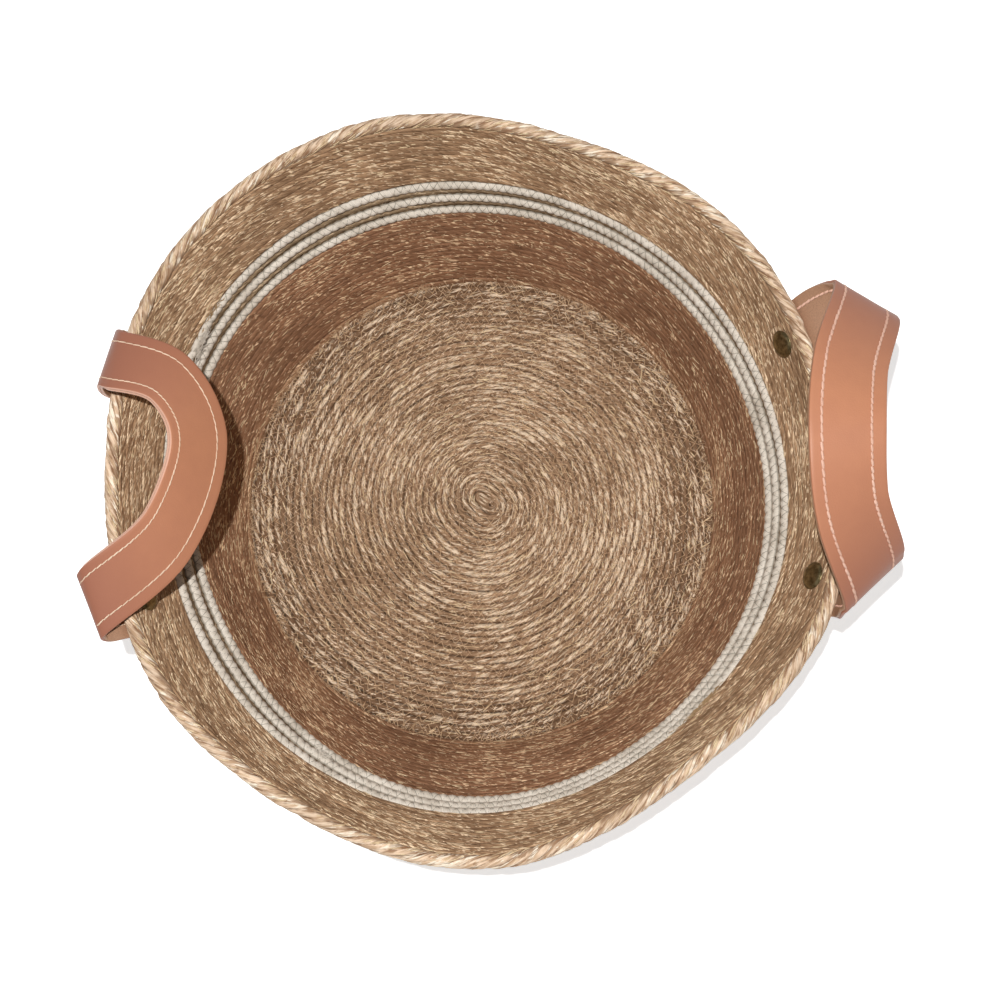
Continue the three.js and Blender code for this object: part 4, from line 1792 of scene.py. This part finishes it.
def spline(points: np.ndarray, t: float, power: float | None) -> np.ndarray:
    """A point of the curve through some points.

    Args:
        points: the points it runs through.
        t: how far along, 0 to 1.
        power: 0.25 for centripetal spacing, or none for even spacing.

    Returns:
        The point.
    """
    last = len(points) - 1
    index = min(int(t * last), last - 1)
    weight = t * last - index
    p1, p2 = points[index], points[index + 1]
    p0 = points[index - 1] if index > 0 else 2 * points[0] - points[1]
    p3 = points[index + 2] if index + 2 <= last else 2 * points[last] - points[last - 1]
    if power is None:
        leave, arrive = 0.5 * (p2 - p0), 0.5 * (p3 - p1)
    else:
        d0, d1, d2 = (max(np.sum((b - a) ** 2) ** power, 1e-4) for a, b in ((p0, p1), (p1, p2), (p2, p3)))
        leave = ((p1 - p0) / d0 - (p2 - p0) / (d0 + d1) + (p2 - p1) / d1) * d1
        arrive = ((p2 - p1) / d1 - (p3 - p1) / (d1 + d2) + (p3 - p2) / d2) * d1
    square, cube = weight**2, weight**3
    return (
        p1
        + leave * weight
        + (-3 * p1 + 3 * p2 - 2 * leave - arrive) * square
        + (2 * p1 - 2 * p2 + leave + arrive) * cube
    )


@dataclass
class Handle:
    """A doubled leather strap with its stitches and rivets, in millimetres."""

    form: HandleForm
    width: float = 36.5
    leather: float = 1.5
    layer_gap: float = 0.3
    rounding: tuple = ((0.5, 0.0), (0.15, 0.15), (0.0, 0.55))
    groove: tuple = ((0.0, 0.35), (0.12, 0.14))
    groove_depth: float = 0.35
    fold_bend: float = 5.0
    clearance: float = 0.5
    rim_clearance: float = 0.8
    rivet_lift: float = 0.25
    halfway_lift: float = 0.6
    tab_below_rivet: float = 15.0
    rivet_below_rim: float = 9.0
    stitch: float = 3.6
    stitch_gap: float = 0.01
    stitch_jitter: float = 0.05
    steps: int = 230
    end_rounding: float = 1.2
    end_narrowing: float = 0.06
    end_thinning: float = 0.3
    end_thinning_over: float = 0.8

    def __post_init__(self) -> None:
        """Lays out the strap's stations along the wall, the folds and the arch."""
        self.thickness = 2 * self.leather + self.layer_gap
        self.rim_radius = float(SHELL.radius(SHELL.rim_height) + SHELL.rim_off)
        upper_top = SHELL.rim_height - SHELL.rim_diameter / 2 - SHELL.seam
        self.rivet_height = upper_top - self.rivet_below_rim
        self.rim_stand_off = (
            SHELL.rim_overhang + SHELL.rim_diameter / 2 - SHELL.wall_thickness / 2 + self.rim_clearance
        )
        first, last = self.leg(1), self.leg(-1)[::-1]
        arch = [self.free(station) for station in self.form.arch]
        first_fold, last_fold = self.free(self.form.first_fold), self.free(self.form.last_fold)
        stations = [
            *first,
            *self.fold(first_fold, first[3], arch[0]),
            *arch,
            *self.fold(last_fold, arch[-1], last[0]),
            *last,
        ]
        self.places, self.ways, self.cups, self.stretches = (np.array(part) for part in zip(*stations))

    def free(self, station: Station) -> tuple:
        """Places a station that doesn't lie on the wall.

        Args:
            station: where it is.

        Returns:
            Its place, its way across, its cup and its stretch.
        """
        azimuth = math.radians(self.form.azimuth)
        out = np.array([math.cos(azimuth), math.sin(azimuth), 0])
        along = np.array([-math.sin(azimuth), math.cos(azimuth), 0])
        up = np.array([0, 0, 1])
        half_span = self.rim_radius * math.sin(math.radians(self.form.spread))
        place = (
            out * station.out * self.rim_radius
            + along * station.along * half_span
            + up * (SHELL.rim_height + station.rise * self.width)
        )
        turn, tip = math.radians(station.turn), math.radians(station.tip)
        way = math.cos(tip) * (math.cos(turn) * out + math.sin(turn) * along) + math.sin(tip) * up
        return place, way, 0.0, station.stretch

    def wall(self, side: int, height: float, stand_off: float) -> tuple:
        """Places a station that lies on the wall.

        Args:
            side: 1 for the first tab, -1 for the last.
            height: its height.
            stand_off: its distance from the wall beyond the clearance.

        Returns:
            Its place, its way across, its cup and its stretch.
        """
        angle = math.radians(self.form.azimuth + side * self.form.spread)
        thick = SHELL.wall_thickness
        half = self.width / 2 / (SHELL.radius(height) + thick)
        normal = SHELL.normal(angle, height)
        near = SHELL.point(angle - side * half, height, thick)
        far = SHELL.point(angle + side * half, height, thick)
        place = (near + far) / 2
        cup = float(np.dot(SHELL.point(angle, height, thick) - place, normal))
        place = place + normal * (self.clearance + self.thickness / 2 + stand_off)
        return place, unit(near - far), cup, 1.0

    def leg(self, side: int) -> list[tuple]:
        """The four stations of a tab, from its end to the rim.

        Args:
            side: 1 for the first tab, -1 for the last.

        Returns:
            The stations.
        """
        off = self.rim_stand_off
        return [
            self.wall(side, self.rivet_height - self.tab_below_rivet, 0),
            self.wall(side, self.rivet_height, off * self.rivet_lift),
            self.wall(side, (self.rivet_height + SHELL.rim_height) / 2, off * self.halfway_lift),
            self.wall(side, SHELL.rim_height, off),
        ]

    def fold(self, corner: tuple, before: tuple, after: tuple) -> list[tuple]:
        """Rounds a fold into two stations.

        Args:
            corner: the fold's station.
            before, after: its neighbours.

        Returns:
            The two stations.
        """
        place, *rest = corner
        back, forward = unit(before[0] - place), unit(after[0] - place)
        return [(place + back * self.fold_bend, *rest), (place + forward * self.fold_bend, *rest)]

    def frame(self, t: float) -> tuple:
        """The strap's middle and its axes.

        Args:
            t: how far along the strap, 0 to 1.

        Returns:
            Its middle, its way across with its stretch, its normal and its cup.
        """
        step = 0.001
        heading = spline(self.places, min(t + step, 1), 0.25) - spline(self.places, max(t - step, 0), 0.25)
        way = unit(spline(self.ways, t, None))
        last = len(self.places) - 1
        index = min(int(t * last), last - 1)
        weight = t * last - index
        cup, stretch = (
            part[index] * (1 - weight) + part[index + 1] * weight for part in (self.cups, self.stretches)
        )
        return spline(self.places, t, 0.25), way * stretch, unit(np.cross(heading, way)), cup

    def surface(self, t: float, sideways: Number, outward: Number) -> np.ndarray:
        """A point in or on the strap.

        Args:
            t: how far along it, 0 to 1.
            sideways: how far across from its middle.
            outward: how far out from its middle surface.

        Returns:
            The point, or a row for each sideways value.
        """
        middle, way, normal, cup = self.frame(t)
        sideways, outward = np.asarray(sideways, float), np.asarray(outward, float)
        share = sideways / (self.width / 2)
        lift = outward + cup * (1 - share**2)
        return middle + sideways[..., None] * way + lift[..., None] * normal

    def even(self, count: int) -> np.ndarray:
        """Values of t that are evenly spaced along the strap, whose length is kept.

        Args:
            count: how many.

        Returns:
            The values.
        """
        fine = np.linspace(0, 1, 800)
        path = np.array([spline(self.places, t, 0.25) for t in fine])
        run = np.concatenate([[0], np.cumsum(np.linalg.norm(np.diff(path, axis=0), axis=1))])
        self.length = float(run[-1])
        return np.interp(np.linspace(0, run[-1], count), run, fine)

    def section(self) -> tuple[np.ndarray, np.ndarray]:
        """The strap's section: two layers with rounded edges and a fine groove between them.

        Returns:
            Its sideways and outward coordinates, going round.
        """
        half, top = self.width / 2, self.thickness / 2
        quarter = [(half - x, top - y) for x, y in self.rounding] + [(half - x, y) for x, y in self.groove]
        edge = [*quarter, (half - self.groove_depth, 0.0), *((x, -y) for x, y in quarter[::-1])]
        inner = np.linspace(half - 2.0, -half + 2.0, 11)
        upper = [(x, top) for x in inner[::-1]]
        lower = [(x, -top) for x in inner]
        other = [(-x, y) for x, y in edge[::-1]]
        loop = np.array(upper + edge + lower + other)
        return loop[:, 0], loop[:, 1]

    def strap(self, leather: Material) -> Piece:
        """Makes the leather, whose two ends are a little narrower and thinner.

        Args:
            leather: its material.

        Returns:
            The object.
        """
        across, out = self.section()
        count, last = len(across), self.steps - 1
        rows, strap, end = [], [], []
        for number, t in enumerate(self.even(self.steps)):
            along = self.length * number / last
            close = min(along, self.length - along)
            wide = 1 - self.end_narrowing * max(0.0, 1 - close / self.end_rounding) ** 2
            thick = (1 - self.end_thinning) + self.end_thinning * min(1, close / self.end_thinning_over)
            rows.append(self.surface(t, across * wide, out * thick))
            strap.append(np.stack([np.full(count, along), across, out], -1) * MM)
            # The end value grows towards both ends of the strap, where the material paints shade.
            end.append(np.full(count, abs(2 * number / last - 1)))
        faces = around_faces(self.steps, count)
        top = last * count
        for a in range(count // 2):
            b, c, d = a + 1, count - 2 - a, count - 1 - a
            if c <= b:
                break
            faces += [[a, d, c, b], [top + a, top + b, top + c, top + d]]
        made = mesh_object(
            f"{self.form.name.title()} strap",
            np.concatenate(rows),
            faces,
            leather,
            strap=np.concatenate(strap),
            end=np.concatenate(end),
        )
        face_outwards(made)
        return made

    def stitches(self, thread: Material) -> Piece:
        """Makes the stitches along both edges, on the face and the lining.

        Args:
            thread: their material.

        Returns:
            The object.
        """
        rng = np.random.default_rng(SEED + len(self.form.name))
        values = self.even(int(round(self.length / self.stitch)) + 1)[1:-1]
        starts, ends, faces = [], [], []
        for side in (-1, 1):
            inset = self.width / 2 - (self.form.seam_long if side < 0 else self.form.seam_short)
            for look in (-1, 1):
                out = look * (self.thickness / 2 + 0.02)
                slant = self.form.thread_slant * look
                for t0, t1 in zip(values[:-1], values[1:]):
                    gap = self.stitch_gap * (t1 - t0)
                    jitter = rng.normal(0, self.stitch_jitter, 2)
                    starts.append(self.surface(t0 + gap, side * inset - slant + jitter[0], out))
                    ends.append(self.surface(t1 - gap, side * inset + slant + jitter[1], out))
                    faces.append(self.frame((t0 + t1) / 2)[2] * look)
        name = f"{self.form.name.title()} stitches"
        strands = Strands(name, self.form.thread_width, 0.32, arch=0.45, tip=0.68, unevenness=0.25)
        return strands.lay(np.array(starts), np.array(ends), np.array(faces), thread)

    def rivets(self, metal: Material) -> dict[str, Piece]:
        """Makes the rivets' heads and caps.

        Args:
            metal: their material.

        Returns:
            The objects by the frame's node names.
        """
        made = {}
        last = len(self.places) - 1
        for end, index in (("first", 1), ("last", last - 1)):
            middle, _, normal, cup = self.frame(index / last)
            at = middle + normal * cup
            for suffix, look in (("", 1), ("_cap", -1)):
                node = f"{self.form.name}_{end}_rivet{suffix}"
                made[node] = rivet(node, at, normal, look, metal)
        return made

    def make(self, leather: Material, metal: Material) -> None:
        """Builds the handle's pieces: hides the frame's strap parts, bakes the strap and its stitches where
        they lie and ties the rivets to the frame.

        Args:
            leather, metal: their materials.
        """
        form = self.form
        strap = self.strap(leather)
        stitches = self.stitches(thread_material(STRAP_THREADS[form.name]))
        parts = ("arch", "first_tab", "last_tab")
        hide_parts(*(f"{form.name}_{part}_{layer}" for part in parts for layer in ("face", "lining")))
        way = np.array(form.blend_way)
        start, end = tuple(way * form.blend_from * MM), tuple(way * form.blend_to * MM)
        for piece in (strap, stitches):
            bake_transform(piece)
            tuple(start)
            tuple(end)
            log.info("%s bends between the basket and the %s handle", piece.name, form.name)
        for node, piece in self.rivets(metal).items():
            dress(piece, "basket", "rivet_bronze", node)


def around_faces(rows: int, sides: int) -> list:
    """The faces between neighbouring rows of points that each go round.

    Args:
        rows: how many rows.
        sides: how many points in each.

    Returns:
        The faces as corner numbers.
    """
    faces = []
    for low in range(0, (rows - 1) * sides, sides):
        for j in range(sides):
            k = (j + 1) % sides
            faces.append([low + j, low + k, low + sides + k, low + sides + j])
    return faces


def face_outwards(made: Piece) -> None:
    """Turns a closed mesh's faces outwards.

    Args:
        made: the object.
    """
    work = bmesh.new()
    work.from_mesh(made.data)
    bmesh.ops.recalc_face_normals(work, faces=work.faces)
    work.to_mesh(made.data)
    work.free()


@dataclass(frozen=True)
class RivetForm:
    """A rivet's domed head, in shares of its radius and of its rise."""

    post: float = 0.27
    dome: float = 0.93
    dome_foot: float = 0.36
    cap_rise: float = 0.7
    edge: tuple = ((0.93, 0.0), (0.985, 0.05), (1.0, 0.14), (0.985, 0.24), (0.955, 0.30), (0.93, 0.32))
    dome_steps: tuple = (0.88, 0.78, 0.64, 0.48, 0.3, 0.14)
    sides: int = 40

    def profile(self, radius: float, foot: float, base: float, tip: float, post: bool) -> list[tuple]:
        """The head's outline from its foot on the axis to its tip.

        Args:
            radius: the head's radius.
            foot: where the post ends, along the axis.
            base, tip: where the head begins and ends, along the axis.
            post: whether it has a post.

        Returns:
            Points, each its distance from the axis and its place along it.
        """
        rise = tip - base
        side = radius * self.post
        points = [(0.0, foot), (side, foot), (side, base)] if post else [(0.0, base)]
        points += [(radius * out, base + rise * up) for out, up in self.edge]
        for share in self.dome_steps:
            lift = self.dome_foot + (1 - self.dome_foot) * math.sqrt(1 - (share / self.dome) ** 2)
            points.append((radius * share, base + rise * lift))
        return [*points, (0.0, tip)]


def rivet(node: str, at: np.ndarray, normal: np.ndarray, look: int, metal: Material) -> Piece:
    """Makes a rivet's domed head over the frame's node.

    Args:
        node: the frame's node that it stands for.
        at: a point on its axis, in millimetres.
        normal: its axis.
        look: 1 for the outer head, -1 for the inner cap.
        metal: its material.

    Returns:
        The object.
    """
    form = RivetForm()
    corners = np.array([v.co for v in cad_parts[node].data.vertices], float) / MM
    heights = (corners - at) @ normal
    away = np.linalg.norm((corners - at) - heights[:, None] * normal, axis=1)
    radius = float(away.max())
    wide = heights[away > radius * 0.9]
    low, high = float(heights.min()), float(heights.max())
    if look > 0:
        profile = form.profile(radius, low, float(wide.min()), high, True)
    else:
        base = float(wide.max())
        profile = form.profile(radius, high, base, base + form.cap_rise * (low - base), False)
    side = unit(np.cross(normal, [0.0, 0.0, 1.0]))
    angle = TURN * np.arange(form.sides) / form.sides
    round_way = np.cos(angle)[:, None] * side + np.sin(angle)[:, None] * np.cross(side, normal)
    points = [at + normal * height + round_way * max(reach, 0.001) for reach, height in profile]
    faces = around_faces(len(profile), form.sides)
    last = (len(profile) - 1) * form.sides
    faces += [list(range(form.sides)), list(range(last, last + form.sides))]
    made = mesh_object(node.replace("_", " ").title(), np.concatenate(points), faces, metal)
    face_outwards(made)
    return made


# The stage


@dataclass
class Stage:
    """The pale floor, the soft lights and the camera, in metres."""

    camera_place: tuple = (0.046, -0.1034, 0.800)
    camera_turn: tuple = (0.1396, 0.0482, 0.0)
    lens: float = 47.96
    sensor: float = 36.0
    key_place: tuple = (0.01, -0.06, 0.95)
    key_size: float = 0.012
    key_power: float = 7.9
    fill: float = 0.13
    ground_colour: Colour = (0.93, 0.93, 0.93)
    ground_reach: float = 30.0
    ground_drop: float = 0.0002

    def build(self) -> None:
        """Sets up the camera, the floor, the lights and the world."""
        scene = bpy.context.scene
        scene.view_settings.view_transform = "Standard"
        self.camera(scene)
        self.ground()
        self.key(scene)
        self.world(scene)

    def camera(self, scene: bpy.types.Scene) -> None:
        """Sets up the camera.

        Args:
            scene: the scene it looks at.
        """
        camera = bpy.data.cameras.new("Camera")
        camera.lens = self.lens
        camera.sensor_width = self.sensor
        camera.clip_start = 0.01
        eye = bpy.data.objects.new("Camera", camera)
        eye.location = self.camera_place
        eye.rotation_euler = self.camera_turn
        scene.collection.objects.link(eye)
        scene.camera = eye

    def ground(self) -> None:
        """Makes the pale floor, which grows brighter away from the basket."""
        bench = Bench("Pale floor")
        bench.shader.inputs["Base Color"].default_value = (*self.ground_colour, 1)
        bench.shader.inputs["Roughness"].default_value = 0.9
        bench.shader.inputs["Specular IOR Level"].default_value = 0.0
        bench.shader.inputs["Emission Color"].default_value = (1, 1, 1, 1)
        away = bench.add("VectorMath", {0: bench.place()}, operation="LENGTH").outputs["Value"]
        glow = bench.ramp(away, 0.3, 1.0, 0.62, 0.88)
        bench.tree.links.new(glow, bench.shader.inputs["Emission Strength"])
        corners = np.array([[-1, -1, 0], [1, -1, 0], [1, 1, 0], [-1, 1, 0]])
        ground = mesh_object("Ground", corners * self.ground_reach / MM, [[0, 1, 2, 3]], bench.material)
        ground.location.z = -self.ground_drop

    def key(self, scene: bpy.types.Scene) -> None:
        """Sets up the key light, which looks at the basket's middle.

        Args:
            scene: the scene it lights.
        """
        lamp = bpy.data.lights.new("Key", "AREA")
        lamp.shape = "DISK"
        lamp.size = self.key_size
        lamp.energy = self.key_power
        key = bpy.data.objects.new("Key", lamp)
        key.location = self.key_place
        side, front, up = self.key_place
        key.rotation_euler = (math.atan2(-front, up), math.atan2(side, up), 0)
        scene.collection.objects.link(key)

    def world(self, scene: bpy.types.Scene) -> None:
        """Sets up the fill light, with pure white where the camera sees past the floor.

        Args:
            scene: the scene it lights.
        """
        world = bpy.data.worlds.new("World")
        world.use_nodes = True
        tree = world.node_tree
        fill = tree.nodes["Background"]
        fill.inputs[0].default_value = (1, 1, 1, 1)
        fill.inputs[1].default_value = self.fill
        seen = add_node(tree, "ShaderNodeBackground", {0: (1, 1, 1, 1)})
        path = add_node(tree, "ShaderNodeLightPath")
        choice = add_node(
            tree,
            "ShaderNodeMixShader",
            {0: path.outputs["Is Camera Ray"], 1: fill.outputs[0], 2: seen.outputs[0]},
        )
        tree.links.new(choice.outputs[0], tree.nodes["World Output"].inputs[0])
        scene.world = world


# Putting it together


def main() -> None:
    """Builds the whole scene in order."""
    logging.basicConfig(level=logging.INFO, format="%(message)s")
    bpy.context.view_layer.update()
    straw = thread_material(STRAW)
    Floor().make(straw)
    lower = CoiledWall(
        "Lower wall",
        "wall_jute_dark",
        bottom=SHELL.floor_thickness + SHELL.seam,
        rows=SHELL.lower_rows,
        seed=SEED + 1,
        inner_fibres=1150,
        outer_fibres=500,
        drop=1.2,
        lean=(0.0, 0.75),
    )
    lower.make(jute_material(LOWER_JUTE), straw)
    upper = CoiledWall(
        "Upper wall",
        "wall_jute",
        bottom=SHELL.upper_bottom,
        rows=SHELL.upper_rows,
        seed=SEED + 2,
        inner_fibres=1300,
        outer_fibres=700,
        lip=1.5,
    )
    upper.make(jute_material(UPPER_JUTE), straw)
    CordBand().make(jute_material(THIN_JUTE))
    Rim().make(straw)
    leather, metal = leather_material(LEATHER), metal_material(BRONZE)
    for form in (RIGHT, LEFT):
        Handle(form).make(leather, metal)
    Stage().build()


if __name__ == "__main__":
    main()
